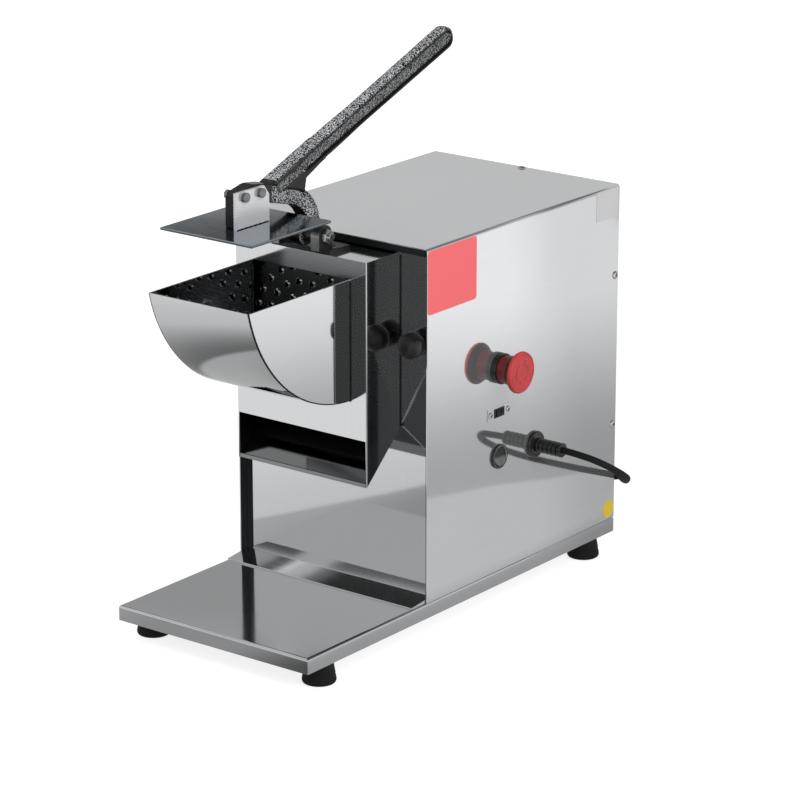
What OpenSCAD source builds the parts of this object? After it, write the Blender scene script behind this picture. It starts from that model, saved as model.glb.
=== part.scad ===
// Electric cheese grater: a steel housing with a motor, a clamped grating head with a feed hopper,
// and a cast lever that presses the cheese on a spinning disc. Millimetres, +Z up, front towards -Y.

/* [Base] */
// Width of the base and of the housing
base_w = 225; // [200:1:260]
// Length of the platform in front of the housing
platform_l = 176; // [150:1:200]
// Height of the folded base tray
base_h = 15; // [12:0.5:24]
// Width of the turned-in flanges under the base
base_return = 34; // [31:1:40]
// Thickness of the sheet steel
sheet = 1.5; // [1:0.1:2]
// Height of a rubber foot
foot_h = 20; // [14:0.5:28]
// Diameter of a rubber foot on the floor
foot_d = 32; // [28:0.5:36]
// Diameter of a rubber foot under the base
foot_top_d = 26; // [20:0.5:27]
// Distance of a foot's axis from the side of the base
foot_inset_x = 13.5; // [13.5:0.5:17]
// Distance of a foot's axis from the ends of the base
foot_inset_y = 33; // [20:1:45]

/* [Housing] */
// Depth of the housing
housing_d = 308; // [290:1:340]
// Height of the cover over the base
cover_h = 340; // [330:1:380]
// Inner bend radius of the cover
bend_in = 1.5; // [0.5:0.5:4]
// Height of the lip folded down at the cover's front
cover_lip = 7; // [4:0.5:7]
// Setback of the front panel behind the cover's front edge
panel_setback = 9; // [6:0.5:12]
// Length of the front panel's flange on the platform
panel_foot = 30; // [20:1:40]
// Length of the folded fixing flanges of both panels
panel_flange = 15; // [12:1:20]
// Number of ventilation slots in each column of the rear panel
vent_rows = 9; // [4:1:12]
// Length of a ventilation slot
vent_l = 62; // [40:1:80]
// Height of a ventilation slot
vent_h = 4; // [3:0.5:6]
// Radius of the dome screws' heads
screw_head_r = 4; // [3.5:0.1:5]
// Height of the dome screws' heads
screw_head_h = 1.6; // [1:0.1:2]
// Radius of the dome screws' shanks
screw_r = 2; // [1.5:0.1:2.5]

/* [Grating head] */
// Width of the head
head_w = 153; // [149:1:160]
// Depth of the head in front of its flange
head_d = 50.5; // [48:0.5:56]
// Drop of the head's top under the top of the cover
head_drop = 8.5; // [8:0.5:12]
// Free height over the platform under the head's lip
head_clear = 117.5; // [105:0.5:120]
// Height of the discharge slot
slot_h = 44.5; // [36:0.5:48]
// Rise of the chute from the lip to the flange
chute_rise = 46; // [40:0.5:50]
// Thickness of the head's flange
flange_t = 2; // [1.5:0.1:3]
// Inset of the flange from the sides of the housing
flange_inset = 2.5; // [2:0.1:4]
// Height of the cut on the flange's lower corners
flange_cut = 70; // [50:1:75]
// Gap between a clamp knob and the cover's side
knob_gap = 1; // [0.5:0.5:4]
// Diameter of a clamp knob
knob_d = 26; // [20:0.5:30]
// Length of a clamp knob
knob_l = 20; // [16:0.5:24]
// Distance of the clamp knobs under the disc's axis
knob_drop = 6.5; // [0:0.5:10]
// Radius of a clamp stud
stud_r = 4; // [3:0.1:5]

/* [Hopper] */
// Width of the hopper
hopper_w = 116; // [108:1:118]
// Outer radius of the hopper's curved bottom, struck from the lever's pivot
hopper_r = 150; // [144:0.5:152]
// Drop of the hopper's rim under the top of the head
hopper_drop = 18.5; // [14:0.5:24]

/* [Lever] */
// Thickness of the hinge bracket's foot
hinge_foot_t = 4; // [3:0.5:6]
// Gap between the lever's eye and the hinge bracket's foot
eye_gap = 0.5; // [0.3:0.1:2]
// Distance of the pivot behind the head's front
pivot_back = 2.5; // [2:0.5:8]
// Radius of the hinge pin
pin_r = 4; // [3:0.1:5]
// Running clearance of pins, shafts and bores
run_gap = 0.05; // [0.02:0.01:0.08]
// Thickness of the lever casting
lever_t = 14; // [12:0.5:15]
// Radius of the lever's eye
eye_r = 12; // [11:0.5:14]
// Outer radius of the arch
arch_r = 47; // [44:0.5:50]
// Inner radius of the arch
arch_bore_r = 30; // [27:0.5:33]
// Length of the pad that carries the presser plate
pad_l = 41; // [36:1:46]
// Distance of the pad's front from the pivot
pad_reach = 99; // [96:0.5:104]
// Height of the presser plate's top over the pivot
plate_up = 23.5; // [22.5:0.5:26]
// Gap between the presser plate and the hopper's cheeks
plate_gap = 3.5; // [1.5:0.5:8]
// Length of the presser plate
plate_l = 111; // [100:1:112]
// Gap between the presser plate's front edge and the hopper's curved bottom
plate_tip_gap = 12.5; // [4:0.5:20]
// Thickness of the presser plate
plate_t = 2.5; // [2:0.1:3]
// Length of the handle from its root to the centre of its end
handle_l = 219; // [180:1:230]
// Slope of the handle at rest
handle_tilt = 20.5; // [18:0.5:26]
// Depth of the handle at its root
handle_root = 19.5; // [16:0.5:22]
// Depth of the handle at its end
handle_end = 22.5; // [18:0.5:26]
// Depth of the hollow in each side of the handle
handle_hollow = 3.5; // [2:0.5:4]
// Thickness of the handle
handle_t = 15.5; // [14:0.5:17]
// Thickness of a hinge lug
lug_t = 19; // [12:0.5:20]
// Radius of a hinge lug's eye
lug_r = 10; // [9:0.5:11]

/* [Disc and motor] */
// Gap between the grating disc's rim and the head's sides and top
disc_rim_gap = 3; // [1.5:0.5:8]
// Thickness of the grating disc
disc_t = 1.8; // [1.2:0.1:2.4]
// Gap between the disc and the head's front sheet
disc_gap = 6; // [5:0.5:8]
// Radius of a hole in the grating disc
disc_hole_r = 3; // [2:0.1:3.4]
// Radius of the motor shaft
shaft_r = 8; // [7:0.1:9]
// Outer diameter of the motor casing
motor_d = 120; // [112:1:122]
// Length of the motor casing
motor_l = 120; // [110:1:140]
// Wall of the motor casing
motor_wall = 4; // [3:0.5:5]

/* [Switches] */
// Distance of the switch column behind the cover's front edge
switch_y = 112; // [104:1:120]
// Height of the stop button over the base
stop_up = 202; // [196:1:210]
// Radius of the stop button's mushroom head
stop_r = 20; // [18:0.5:21]
// Travel of the stop button
stop_travel = 4; // [3:0.5:5]
// Height of the voltage selector over the base
selector_up = 158.5; // [152:0.5:162]
// Length of the voltage selector's plate
selector_l = 37; // [32:1:40]
// Travel of the voltage selector
selector_travel = 5; // [4:0.5:6]
// Height of the rocker switch over the base
rocker_up = 115; // [110:0.5:120]
// Radius of the rocker switch's bezel
rocker_bezel_r = 12; // [11.5:0.1:14]
// Tilt of the rocker from its middle
rocker_tilt = 7; // [4:0.5:8]

/* [Supply cord] */
// Distance of the cord gland behind the cover's front edge
gland_y = 170; // [160:1:180]
// Height of the cord gland over the base
gland_up = 112; // [108:1:116]
// Diameter of the supply cord
cord_d = 6.5; // [5:0.5:7]
// Mean radius of the put-away coil
coil_r = 37; // [35:0.5:42]
// Number of loops in the coil
coil_loops = 5; // [3:1:6]
// Gap between the coil's loops
coil_gap = 0.7; // [0.6:0.1:3]
// Diameter of the plug
plug_d = 30; // [26:1:34]

/* [Hidden] */
$fn = 64;

// Overshoot of a cut, and the free gap between a moving piece and its neighbour
cut = 0.5;
free_gap = 0.3;

// Main levels and planes, before the part is moved to its origin
base_top = foot_h + base_h;
cover_top = base_top + cover_h;
side_x = base_w / 2;
wall_x = side_x - sheet;
panel_y = panel_setback;
panel_back = panel_y + sheet;
flange_y = panel_y - flange_t;
head_front = flange_y - head_d;
head_top = cover_top - head_drop;
head_x = head_w / 2;
lip_z = base_top + head_clear;
slot_top = lip_z + slot_h;
chute_back = lip_z + chute_rise;
pivot_y = head_front + pivot_back;
pivot_up = hinge_foot_t + eye_gap + eye_r;
pivot_z = head_top + pivot_up;
rim_z = head_top - hopper_drop;
disc_r = head_x - sheet - disc_rim_gap;
axis_z = head_top - sheet - disc_rim_gap - disc_r;
knob_x = wall_x - knob_gap - knob_d / 2;
knob_z = axis_z - knob_drop;
rim_reach = sqrt(hopper_r * hopper_r - (pivot_z - rim_z) * (pivot_z - rim_z));
hopper_front = pivot_y - rim_reach;

// Switch and gland places on the right side
stop_z = base_top + stop_up;
selector_z = base_top + selector_up;
rocker_z = base_top + rocker_up;
gland_z = base_top + gland_up;
gland_flange_r = 13;
gland_flange_t = 3.5;
boot_l = 30;
boot_end_x = side_x + gland_flange_t + boot_l;
stop_stand = 17.5;
stop_cap_t = 10;
stop_spigot = 6;
stop_head_x = side_x + stop_stand;
stop_end_x = stop_head_x + stop_cap_t;

// The part's origin is the middle of its footprint on the floor, without the cord
foot_x = side_x - foot_inset_x;
foot_ys = [-platform_l + foot_inset_y, housing_d - foot_inset_y];
x_low = min(-side_x - screw_head_h, -foot_x - foot_d / 2);
x_high = max(boot_end_x, stop_end_x);
y_low = min(hopper_front, -platform_l);
y_high = housing_d;
origin = [(x_low + x_high) / 2, (y_low + y_high) / 2, 0];

// Outlines drawn in Y and Z, pulled along X
module along_x(x0, x1) {
  translate([x0, 0, 0])
    rotate([90, 0, 90])
      linear_extrude(height = x1 - x0)
        children();
}

// Outlines drawn in X and Z, pulled along Y
module along_y(y0, y1) {
  translate([0, y1, 0])
    rotate([90, 0, 0])
      linear_extrude(height = y1 - y0)
        children();
}

module rod_x(x0, x1, r, y, z) {
  translate([x0, y, z])
    rotate([0, 90, 0])
      cylinder(h = x1 - x0, r = r);
}

module rod_y(y0, y1, r, x, z) {
  translate([x, y1, z])
    rotate([90, 0, 0])
      cylinder(h = y1 - y0, r = r);
}

// A ring along Y, and a ring along X
module ring_y(y0, y1, r_out, r_in, x, z) {
  difference() {
    rod_y(y0, y1, r_out, x, z);
    rod_y(y0 - cut, y1 + cut, r_in, x, z);
  }
}

module ring_x(x0, x1, r_out, r_in, y, z) {
  difference() {
    rod_x(x0, x1, r_out, y, z);
    rod_x(x0 - cut, x1 + cut, r_in, y, z);
  }
}

module block(low, high) {
  translate(low)
    cube(high - low);
}

// Base: a folded tray, open underneath between its turned-in flanges
foot_screw_r = 2.5;

module base_plate() {
  inner_x = side_x - sheet;
  color("silver")
    difference() {
      block([-side_x, -platform_l, foot_h], [side_x, housing_d, base_top]);
      block([-inner_x, -platform_l + sheet, foot_h + sheet], [inner_x, housing_d - sheet, base_top - sheet]);
      block([base_return - side_x, -platform_l + sheet, foot_h - cut],
            [side_x - base_return, housing_d - sheet, foot_h + sheet + cut]);
      for (x = [-foot_x, foot_x], y = foot_ys)
        translate([x, y, foot_h - cut])
          cylinder(h = sheet + 2 * cut, r = foot_screw_r);
    }
}

// Rubber feet with a sunk screw
foot_edge = 3;
foot_sink_r = 6;
foot_sink = 8;
foot_head_r = 5;
foot_head_h = 3;

module foot(x, y) {
  color("black")
    translate([x, y, 0])
      difference() {
        rotate_extrude()
          polygon([[0, 0], [foot_d / 2 - foot_edge, 0], [foot_d / 2 - foot_edge / 3, foot_edge / 3],
                   [foot_d / 2, foot_edge], [foot_top_d / 2, foot_h], [0, foot_h]]);
        translate([0, 0, -cut])
          cylinder(h = foot_sink + cut, r = foot_sink_r);
        cylinder(h = foot_h + cut, r = foot_screw_r);
      }
}

module foot_screws() {
  color("gray")
    for (x = [-foot_x, foot_x], y = foot_ys)
      translate([x, y, foot_sink - foot_head_h]) {
        cylinder(h = foot_head_h, r = foot_head_r);
        cylinder(h = foot_h + sheet + 4 - foot_sink + foot_head_h, r = foot_screw_r);
      }
}

// Screws of the cover, on the sides near the rear edge and on the top
screw_y = housing_d - 5.5;
side_screw_low = 98;
side_screw_high = 250;
side_screw_zs = [base_top + side_screw_low, base_top + side_screw_high];
screw_depth = 8;

module cover_screw() {
  intersection() {
    translate([0, 0, screw_head_h - screw_dome_r])
      sphere(r = screw_dome_r);
    cylinder(h = screw_head_h, r = screw_head_r);
  }
  translate([0, 0, -screw_depth])
    cylinder(h = screw_depth + screw_head_h / 2, r = screw_r);
}
screw_dome_r = (screw_head_r * screw_head_r + screw_head_h * screw_head_h) / (2 * screw_head_h);

module at_cover_screws() {
  for (z = side_screw_zs) {
    translate([side_x, screw_y, z]) rotate([0, 90, 0]) children();
    translate([-side_x, screw_y, z]) rotate([0, -90, 0]) children();
  }
  translate([0, screw_y, cover_top]) children();
}

module cover_screws() {
  color("silver") at_cover_screws() cover_screw();
}

module screw_holes() {
  at_cover_screws()
    translate([0, 0, -screw_depth])
      cylinder(h = screw_depth + cut, r = screw_r);
}

// Cover: top and sides from one folded sheet, with a lip along the front of the top
cover_bend = bend_in + sheet;

module cover_outline(x, top, bend) {
  translate([-x, base_top]) square([2 * x, top - bend - base_top]);
  translate([bend - x, base_top]) square([2 * (x - bend), top - base_top]);
  for (side = [-1, 1])
    translate([side * (x - bend), top - bend]) circle(r = bend);
}

module housing_cover() {
  color("gainsboro")
    difference() {
      union() {
        along_y(0, housing_d)
          difference() {
            cover_outline(side_x, cover_top, cover_bend);
            translate([0, -cut])
              cover_outline(wall_x, cover_top - sheet + cut, bend_in);
          }
        block([cover_bend - side_x, 0, cover_top - cover_lip],
              [side_x - cover_bend, sheet, cover_top - sheet / 2]);
      }
      screw_holes();
      rod_x(wall_x - cut, side_x + cut, stop_barrel_r + run_gap, switch_y, stop_z);
      rod_x(wall_x - cut, side_x + cut, rocker_cup_r + run_gap, switch_y, rocker_z);
      rod_x(wall_x - cut, side_x + cut, gland_thread_r + run_gap, gland_y, gland_z);
      selector_window(wall_x - cut, side_x + cut);
      for (y = selector_screw_ys)
        rod_x(wall_x - cut, side_x + cut, selector_screw_r, y, selector_z);
    }
}

// Front panel: recessed between the cover's sides, with a flange forward on the platform
panel_top = cover_top - sheet;
seal_r = 16;

module front_panel() {
  color("lightgray")
    difference() {
      union() {
        along_y(panel_y, panel_back) cover_outline(wall_x, panel_top, bend_in);
        block([-wall_x, panel_y - panel_foot, base_top], [wall_x, panel_y + cut, base_top + sheet]);
        for (side = [-1, 1])
          translate([side * (wall_x - sheet / 2), panel_back + panel_flange / 2, (base_top + panel_top) / 2])
            cube([sheet, panel_flange + 2 * cut, panel_top - base_top - 2 * cover_bend], center = true);
      }
      rod_y(panel_y - cut, panel_back + cut, seal_r, 0, axis_z);
      for (side = [-1, 1])
        rod_y(panel_y - cut, panel_back + cut, stud_r, side * knob_x, knob_z);
      motor_bolt_places() rod_y(panel_y - cut, panel_back + cut, motor_bolt_r, 0, 0);
      motor_bolt_places() motor_bolt_head(0);
    }
}

// Rear panel: vented, with flanges that take the cover's screws
vent_up = 70;

module rear_panel() {
  vent_pitch = 2.2 * vent_h;
  vent_z = base_top + vent_up;
  color("lightgray")
    difference() {
      union() {
        along_y(housing_d - sheet, housing_d) cover_outline(wall_x, panel_top, bend_in);
        for (side = [-1, 1])
          translate([side * (wall_x - sheet / 2), housing_d - sheet - panel_flange / 2 + cut / 2,
                     (base_top + panel_top) / 2])
            cube([sheet, panel_flange + cut, panel_top - base_top - 2 * cover_bend], center = true);
        block([cover_bend - wall_x, housing_d - sheet - panel_flange, panel_top - sheet],
              [wall_x - cover_bend, housing_d - cut, panel_top]);
      }
      screw_holes();
      for (side = [-1, 1], row = [0 : vent_rows - 1])
        translate([side * (vent_l / 2 + 12) - vent_l / 2, housing_d - sheet - cut, vent_z + row * vent_pitch])
          cube([vent_l, sheet + 2 * cut, vent_h]);
    }
}

// Grating head: side plates with a slanting foot, a top, and a front with the hopper's opening
module head_side() {
  polygon([[head_front, lip_z], [flange_y, chute_back], [flange_y, head_top], [head_front, head_top]]);
}

module head_box() {
  mouth_x = hopper_w / 2 - sheet;
  mouth_low = pivot_z - hopper_r + sheet;
  color("gainsboro")
    difference() {
      union() {
        for (side = [0, 1])
          mirror([side, 0, 0]) along_x(head_x - sheet, head_x) head_side();
        block([-head_x + sheet / 2, head_front, head_top - sheet], [head_x - sheet / 2, flange_y, head_top]);
        block([-head_x + sheet / 2, head_front, slot_top],
              [head_x - sheet / 2, head_front + sheet, head_top - sheet / 2]);
      }
      block([-mouth_x, head_front - cut, mouth_low], [mouth_x, head_front + sheet + cut, rim_z]);
    }
}

chute_lip = 4;

module chute_plate() {
  color("gainsboro")
    along_x(sheet - head_x, head_x - sheet)
      polygon([[head_front, lip_z], [flange_y, chute_back], [flange_y, chute_back + sheet],
               [head_front + sheet, lip_z + 2 * sheet], [head_front + sheet, lip_z + chute_lip],
               [head_front, lip_z + chute_lip]]);
}

flange_top_gap = 1;

module head_flange() {
  x = side_x - flange_inset;
  top = cover_top - cover_lip - flange_top_gap;
  color("silver")
    difference() {
      along_y(flange_y, panel_y)
        polygon([[-head_x, chute_back + sheet], [head_x, chute_back + sheet], [x, chute_back + flange_cut],
                 [x, top], [-x, top], [-x, chute_back + flange_cut]]);
      rod_y(flange_y - cut, panel_y + cut, seal_r, 0, axis_z);
      for (side = [-1, 1])
        rod_y(flange_y - cut, panel_y + cut, stud_r + cut, side * knob_x, knob_z);
    }
}

// Hopper: two cheeks and a bottom curved about the pivot
module hopper_cheek(r) {
  intersection() {
    translate([pivot_y, pivot_z]) circle(r = r, $fn = 180);
    translate([pivot_y - r, pivot_z - r]) square([r + head_front - pivot_y, rim_z - pivot_z + r]);
  }
}

module hopper() {
  x = hopper_w / 2;
  color("gainsboro")
    difference() {
      along_x(-x, x) hopper_cheek(hopper_r);
      along_x(sheet - x, x - sheet)
        difference() {
          translate([pivot_y, pivot_z]) circle(r = hopper_r - sheet, $fn = 180);
          translate([head_front + cut, pivot_z - hopper_r]) square([2 * hopper_r, 2 * hopper_r]);
        }
    }
}

// Clamp studs welded behind the front panel, and their knobs
stud_head_r = 8;
stud_head_t = 3;
stud_end = flange_y - 0.65 * knob_l;

module clamp_studs() {
  color("gray")
    for (side = [-1, 1]) {
      rod_y(stud_end, panel_back + stud_head_t, stud_r, side * knob_x, knob_z);
      rod_y(panel_back, panel_back + stud_head_t, stud_head_r, side * knob_x, knob_z);
    }
}

module clamp_knob(x) {
  r = knob_d / 2;
  color("black")
    translate([x, flange_y - free_gap, knob_z])
      rotate([90, 0, 0])
        difference() {
          rotate_extrude()
            polygon([[0, 0], [0.7 * r, 0], [0.74 * r, 0.12 * knob_l], [0.94 * r, 0.25 * knob_l],
                     [r, 0.42 * knob_l], [r, 0.62 * knob_l], [0.92 * r, 0.8 * knob_l],
                     [0.72 * r, 0.93 * knob_l], [0.4 * r, knob_l], [0, knob_l]]);
          translate([0, 0, -cut])
            cylinder(h = flange_y - stud_end + free_gap + cut, r = stud_r + run_gap);
        }
}

// Hinge bracket on the head's top, its bolt and its nut
hinge_foot_x = 34;
hinge_foot_d = 30;
lug_gap = 1.5;
lug_x = lever_t / 2 + lug_gap;
lug_end = lug_x + lug_t;
lug_plate = 9;
lug_boss_r = 8;
hinge_nut_t = 5;
hinge_bolt_end = 3;
hinge_nut_r = 7;

// A lug stands upright on the foot and is round over the pivot
module lug_outline() {
  low = head_top + hinge_foot_t - cut;
  polygon(concat(
    [[pivot_y - lug_r, low], [pivot_y + lug_r, low]],
    [for (i = [0 : arch_steps])
      [pivot_y + lug_r * cos(180 * i / arch_steps), pivot_z + lug_r * sin(180 * i / arch_steps)]]
  ));
}

module hinge_bracket() {
  color("dimgray")
    difference() {
      union() {
        block([-hinge_foot_x, head_front + cut, head_top],
              [hinge_foot_x, head_front + hinge_foot_d, head_top + hinge_foot_t]);
        for (side = [0, 1])
          mirror([side, 0, 0]) {
            along_x(lug_x, lug_end - lug_plate + cut)
              translate([pivot_y, pivot_z]) circle(r = lug_boss_r);
            along_x(lug_end - lug_plate, lug_end) lug_outline();
          }
      }
      rod_x(-lug_end - cut, lug_end + cut, pin_r + run_gap, pivot_y, pivot_z);
    }
}

module hinge_bolt() {
  color("silver") {
    rod_x(-lug_end, lug_end + hinge_nut_t + hinge_bolt_end, pin_r, pivot_y, pivot_z);
    translate([-lug_end - hinge_nut_t, pivot_y, pivot_z])
      rotate([0, 90, 0])
        cylinder(h = hinge_nut_t, r = hinge_nut_r, $fn = 6);
  }
}

module hinge_nut() {
  color("silver")
    difference() {
      translate([lug_end, pivot_y, pivot_z])
        rotate([0, 90, 0])
          cylinder(h = hinge_nut_t, r = hinge_nut_r, $fn = 6);
      rod_x(lug_end - cut, lug_end + hinge_nut_t + cut, pin_r, pivot_y, pivot_z);
    }
}

// Lever casting, drawn about the pivot in Y and Z
arch_mid = [-27.5, 1];
arch_top = arch_mid[1] + arch_r;
bar_fall = 14.5;
handle_root_at = [7, arch_top + 19];
handle_back = -58;
pad_crown = [24, 36.3];
pad_shoulder = [7, 3.5];
pad_nose = 8;
hollow_margin = 4.5;
web_margin = 3;
web_hollow = 1.5;
hollow_front = -14;
hollow_back = -36;
root_sink = 2;
root_front = -13;
root_back = 12;
web_back = -50;
web_low = 22;

function handle_point(along, off) =
  handle_root_at + along * [cos(handle_tilt), sin(handle_tilt)] + off * [-sin(handle_tilt), cos(handle_tilt)];
function arch_point(r, a) = arch_mid + r * [cos(a), sin(a)];

// The bar from the arch to the pad rises forward, along lines that leave the arch as tangents
bar_turn = 90 - bar_fall;
function bar_z(r, y) = arch_point(r, bar_turn)[1] + tan(bar_fall) * (arch_point(r, bar_turn)[0] - y);

arch_steps = 20;
function arch_arc(r, from, to) =
  [for (i = [0 : arch_steps]) arch_point(r, from + (to - from) * i / arch_steps)];

module arm_outline() {
  front = -pad_reach;
  back = pad_l - pad_reach;
  crown = plate_up + pad_crown[1];
  polygon(concat(
    [[front, plate_up], [back, plate_up], [back + 2, bar_z(arch_bore_r, back + 2)]],
    arch_arc(arch_bore_r, bar_turn, 0),
    [[0, 0], [eye_r / 2, -eye_r / 2]],
    arch_arc(arch_r, 0, bar_turn),
    [[back, bar_z(arch_r, back)], [front + pad_crown[0], crown],
     [front + pad_shoulder[0], crown - pad_shoulder[1]], [front, crown - pad_nose]]
  ));
  circle(r = eye_r);
}

module handle_outline() {
  polygon([handle_point(handle_back, handle_root / 2), arch_point(arch_r - root_sink, 90),
           arch_point(arch_r - root_sink, 58), handle_point(root_front, -handle_root / 2 - root_sink),
           handle_point(root_back, -handle_root / 2),
           handle_point(handle_l, -handle_end / 2), handle_point(handle_l, handle_end / 2)]);
  translate(handle_point(handle_l, 0)) circle(r = handle_end / 2);
}

module handle_hollow_outline() {
  end_r = handle_end / 2 - hollow_margin;
  polygon([handle_point(hollow_front, hollow_margin - handle_root / 2), handle_point(handle_l, -end_r),
           handle_point(handle_l, end_r), handle_point(hollow_back, handle_root / 2 - hollow_margin)]);
  translate(handle_point(handle_l, 0)) circle(r = end_r);
}

module web_hollow_outline() {
  outer = arch_r - web_margin;
  inner = arch_bore_r + web_margin;
  polygon(concat(
    [[web_back, bar_z(inner, web_back)]],
    arch_arc(inner, bar_turn, web_low),
    arch_arc(outer, web_low, bar_turn),
    [[web_back, bar_z(outer, web_back)]]
  ));
}

module lever_casting() {
  half = lever_t / 2;
  grip = handle_t / 2;
  color("darkslategray")
    difference() {
      translate([0, pivot_y, pivot_z]) {
        along_x(-half, half) arm_outline();
        along_x(-grip, grip) handle_outline();
      }
      for (side = [0, 1])
        mirror([side, 0, 0])
          translate([0, pivot_y, pivot_z]) {
            along_x(grip - handle_hollow, grip + cut) handle_hollow_outline();
            along_x(half - web_hollow, grip + cut) web_hollow_outline();
          }
      rod_x(-half - cut, half + cut, pin_r + run_gap, pivot_y, pivot_z);
      bracket_bolt_places() rod_x(-half - cut, half + cut, bracket_bolt_r, 0, 0);
    }
}

// Presser bracket: an upright plate bolted to the pad and welded to the presser plate
bracket_t = 3;
bracket_h = 34;
bracket_lead = 4.5;
bracket_l = pad_l + 5;
bracket_cut = [7, 9];
bracket_bolt_r = 3;
bracket_bolt_in = [7, pad_l - 12];
bracket_bolt_up = 28.5;
bolt_head_r = 4.4;
bolt_head_h = 3.5;

module bracket_bolt_places() {
  for (along = bracket_bolt_in)
    translate([0, pivot_y - pad_reach + along, pivot_z + plate_up + bracket_bolt_up])
      children();
}

module presser_bracket() {
  x = lever_t / 2;
  low = pivot_z + plate_up;
  front = pivot_y - pad_reach - bracket_lead;
  back = front + bracket_l;
  top = low + bracket_h;
  color("silver")
    difference() {
      along_x(x, x + bracket_t)
        polygon([[front, low], [back, low], [back, top - bracket_cut[1]], [back - bracket_cut[0], top],
                 [front, top]]);
      bracket_bolt_places() rod_x(x - cut, x + bracket_t + cut, bracket_bolt_r, 0, 0);
    }
}

module bracket_bolts() {
  x = lever_t / 2;
  color("silver")
    bracket_bolt_places() {
      rod_x(-x - bolt_head_h, x + bracket_t, bracket_bolt_r, 0, 0);
      rod_x(x + bracket_t, x + bracket_t + bolt_head_h, bolt_head_r, 0, 0);
      translate([-x - bolt_head_h, 0, 0])
        rotate([0, 90, 0])
          cylinder(h = bolt_head_h, r = bolt_head_r, $fn = 6);
    }
}

plate_x = hopper_w / 2 - sheet - plate_gap;
plate_tip_r = hopper_r - sheet - plate_tip_gap;
plate_reach = sqrt(plate_tip_r * plate_tip_r - plate_up * plate_up);

module presser_plate() {
  top = pivot_z + plate_up;
  front = pivot_y - plate_reach;
  color("slategray")
    block([-plate_x, front, top - plate_t], [plate_x, front + plate_l, top]);
}

// Grating disc on the motor's axis
disc_front = head_front + sheet + disc_gap;
disc_back = disc_front + disc_t;
hub_r = 20;
hub_l = 26;
hub_back = disc_back + hub_l;
disc_bolt_r = 6;
disc_rings = [[disc_r - 42, 12], [disc_r - 28, 18], [disc_r - 14, 24]];

module grating_disc() {
  color("silver")
    difference() {
      rod_y(disc_front, disc_back, disc_r, 0, axis_z);
      rod_y(disc_front - cut, disc_back + cut, disc_bolt_r, 0, axis_z);
      for (ring = disc_rings, i = [0 : ring[1] - 1])
        rod_y(disc_front - cut, disc_back + cut, disc_hole_r, ring[0] * cos(360 * i / ring[1]),
              axis_z + ring[0] * sin(360 * i / ring[1]));
    }
}

module disc_hub() {
  color("gray")
    ring_y(disc_back, hub_back, hub_r, shaft_r, 0, axis_z);
}

disc_nut_r = 10;
disc_nut_t = 5;

module disc_nut() {
  color("silver")
    difference() {
      translate([0, disc_front, axis_z])
        rotate([90, 0, 0])
          cylinder(h = disc_nut_t, r = disc_nut_r, $fn = 6);
      rod_y(disc_front - disc_nut_t - cut, disc_front + cut, disc_bolt_r, 0, axis_z);
    }
}

module shaft_seal() {
  color("black")
    ring_y(flange_y - 2, panel_back, seal_r - run_gap, shaft_r + run_gap, 0, axis_z);
}

// Motor, bolted to the back of the front panel and carried by a pedestal
bell_t = 12;
bell_r = motor_d / 2 + 4;
bearing_r = 17.5;
bearing_t = 10;
casing_front = panel_back + bell_t;
casing_back = casing_front + motor_l;
rear_bell_back = casing_back + bell_t;
stator_in = 33;
rotor_r = stator_in - 1;
rotor_margin = 18;
shaft_tail = 22;
shaft_end = rear_bell_back + shaft_tail;
motor_bolt_r = 3;
motor_bolt_in = 10;
motor_bolt_pcd = motor_d - 2 * motor_bolt_in;
motor_bolt_sink = 3;

module motor_bolt_places() {
  for (a = [45 : 90 : 315])
    translate([motor_bolt_pcd / 2 * cos(a), 0, axis_z + motor_bolt_pcd / 2 * sin(a)])
      children();
}

module motor_bolt_head(margin) {
  translate([0, panel_y - margin, 0])
    rotate([-90, 0, 0])
      cylinder(h = sheet + margin, r1 = motor_bolt_r + motor_bolt_sink / 2, r2 = motor_bolt_r);
}

module motor_bell(y0, y1, bearing_y0) {
  difference() {
    rod_y(y0, y1, bell_r, 0, axis_z);
    rod_y(y0 - cut, y1 + cut, shaft_r + 1, 0, axis_z);
    rod_y(bearing_y0, bearing_y0 + bearing_t + cut, bearing_r, 0, axis_z);
  }
}

module motor_front_bell() {
  color("darkgray")
    difference() {
      motor_bell(panel_back, casing_front, casing_front - bearing_t);
      motor_bolt_places() rod_y(panel_back - cut, casing_front + cut, motor_bolt_r, 0, 0);
    }
}

module motor_rear_bell() {
  color("darkgray") motor_bell(casing_back, rear_bell_back, casing_back - cut);
}

module motor_casing() {
  color("dimgray")
    ring_y(casing_front, casing_back, motor_d / 2, motor_d / 2 - motor_wall, 0, axis_z);
}

module motor_stator() {
  color("peru")
    ring_y(casing_front + rotor_margin, casing_back - rotor_margin, motor_d / 2 - motor_wall, stator_in,
           0, axis_z);
}

module motor_rotor() {
  color("gray") {
    rod_y(disc_back, shaft_end, shaft_r, 0, axis_z);
    rod_y(disc_front - disc_nut_t - 2, disc_back + cut, disc_bolt_r, 0, axis_z);
    rod_y(casing_front + rotor_margin, casing_back - rotor_margin, rotor_r, 0, axis_z);
  }
}

module motor_bearings() {
  color("silver") {
    ring_y(casing_front - bearing_t, casing_front, bearing_r, shaft_r + run_gap, 0, axis_z);
    ring_y(casing_back, casing_back + bearing_t, bearing_r, shaft_r + run_gap, 0, axis_z);
  }
}

module motor_bolts() {
  color("gray")
    motor_bolt_places() {
      motor_bolt_head(0);
      rod_y(panel_y + sheet / 2, casing_front, motor_bolt_r, 0, 0);
    }
}

// Cooling fan behind the motor, under a cowl
fan_r = 48;
fan_hub_r = 14;
fan_front = rear_bell_back + 3;
fan_back = shaft_end - 2;
fan_blades = 8;
fan_blade_t = 2;

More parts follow.
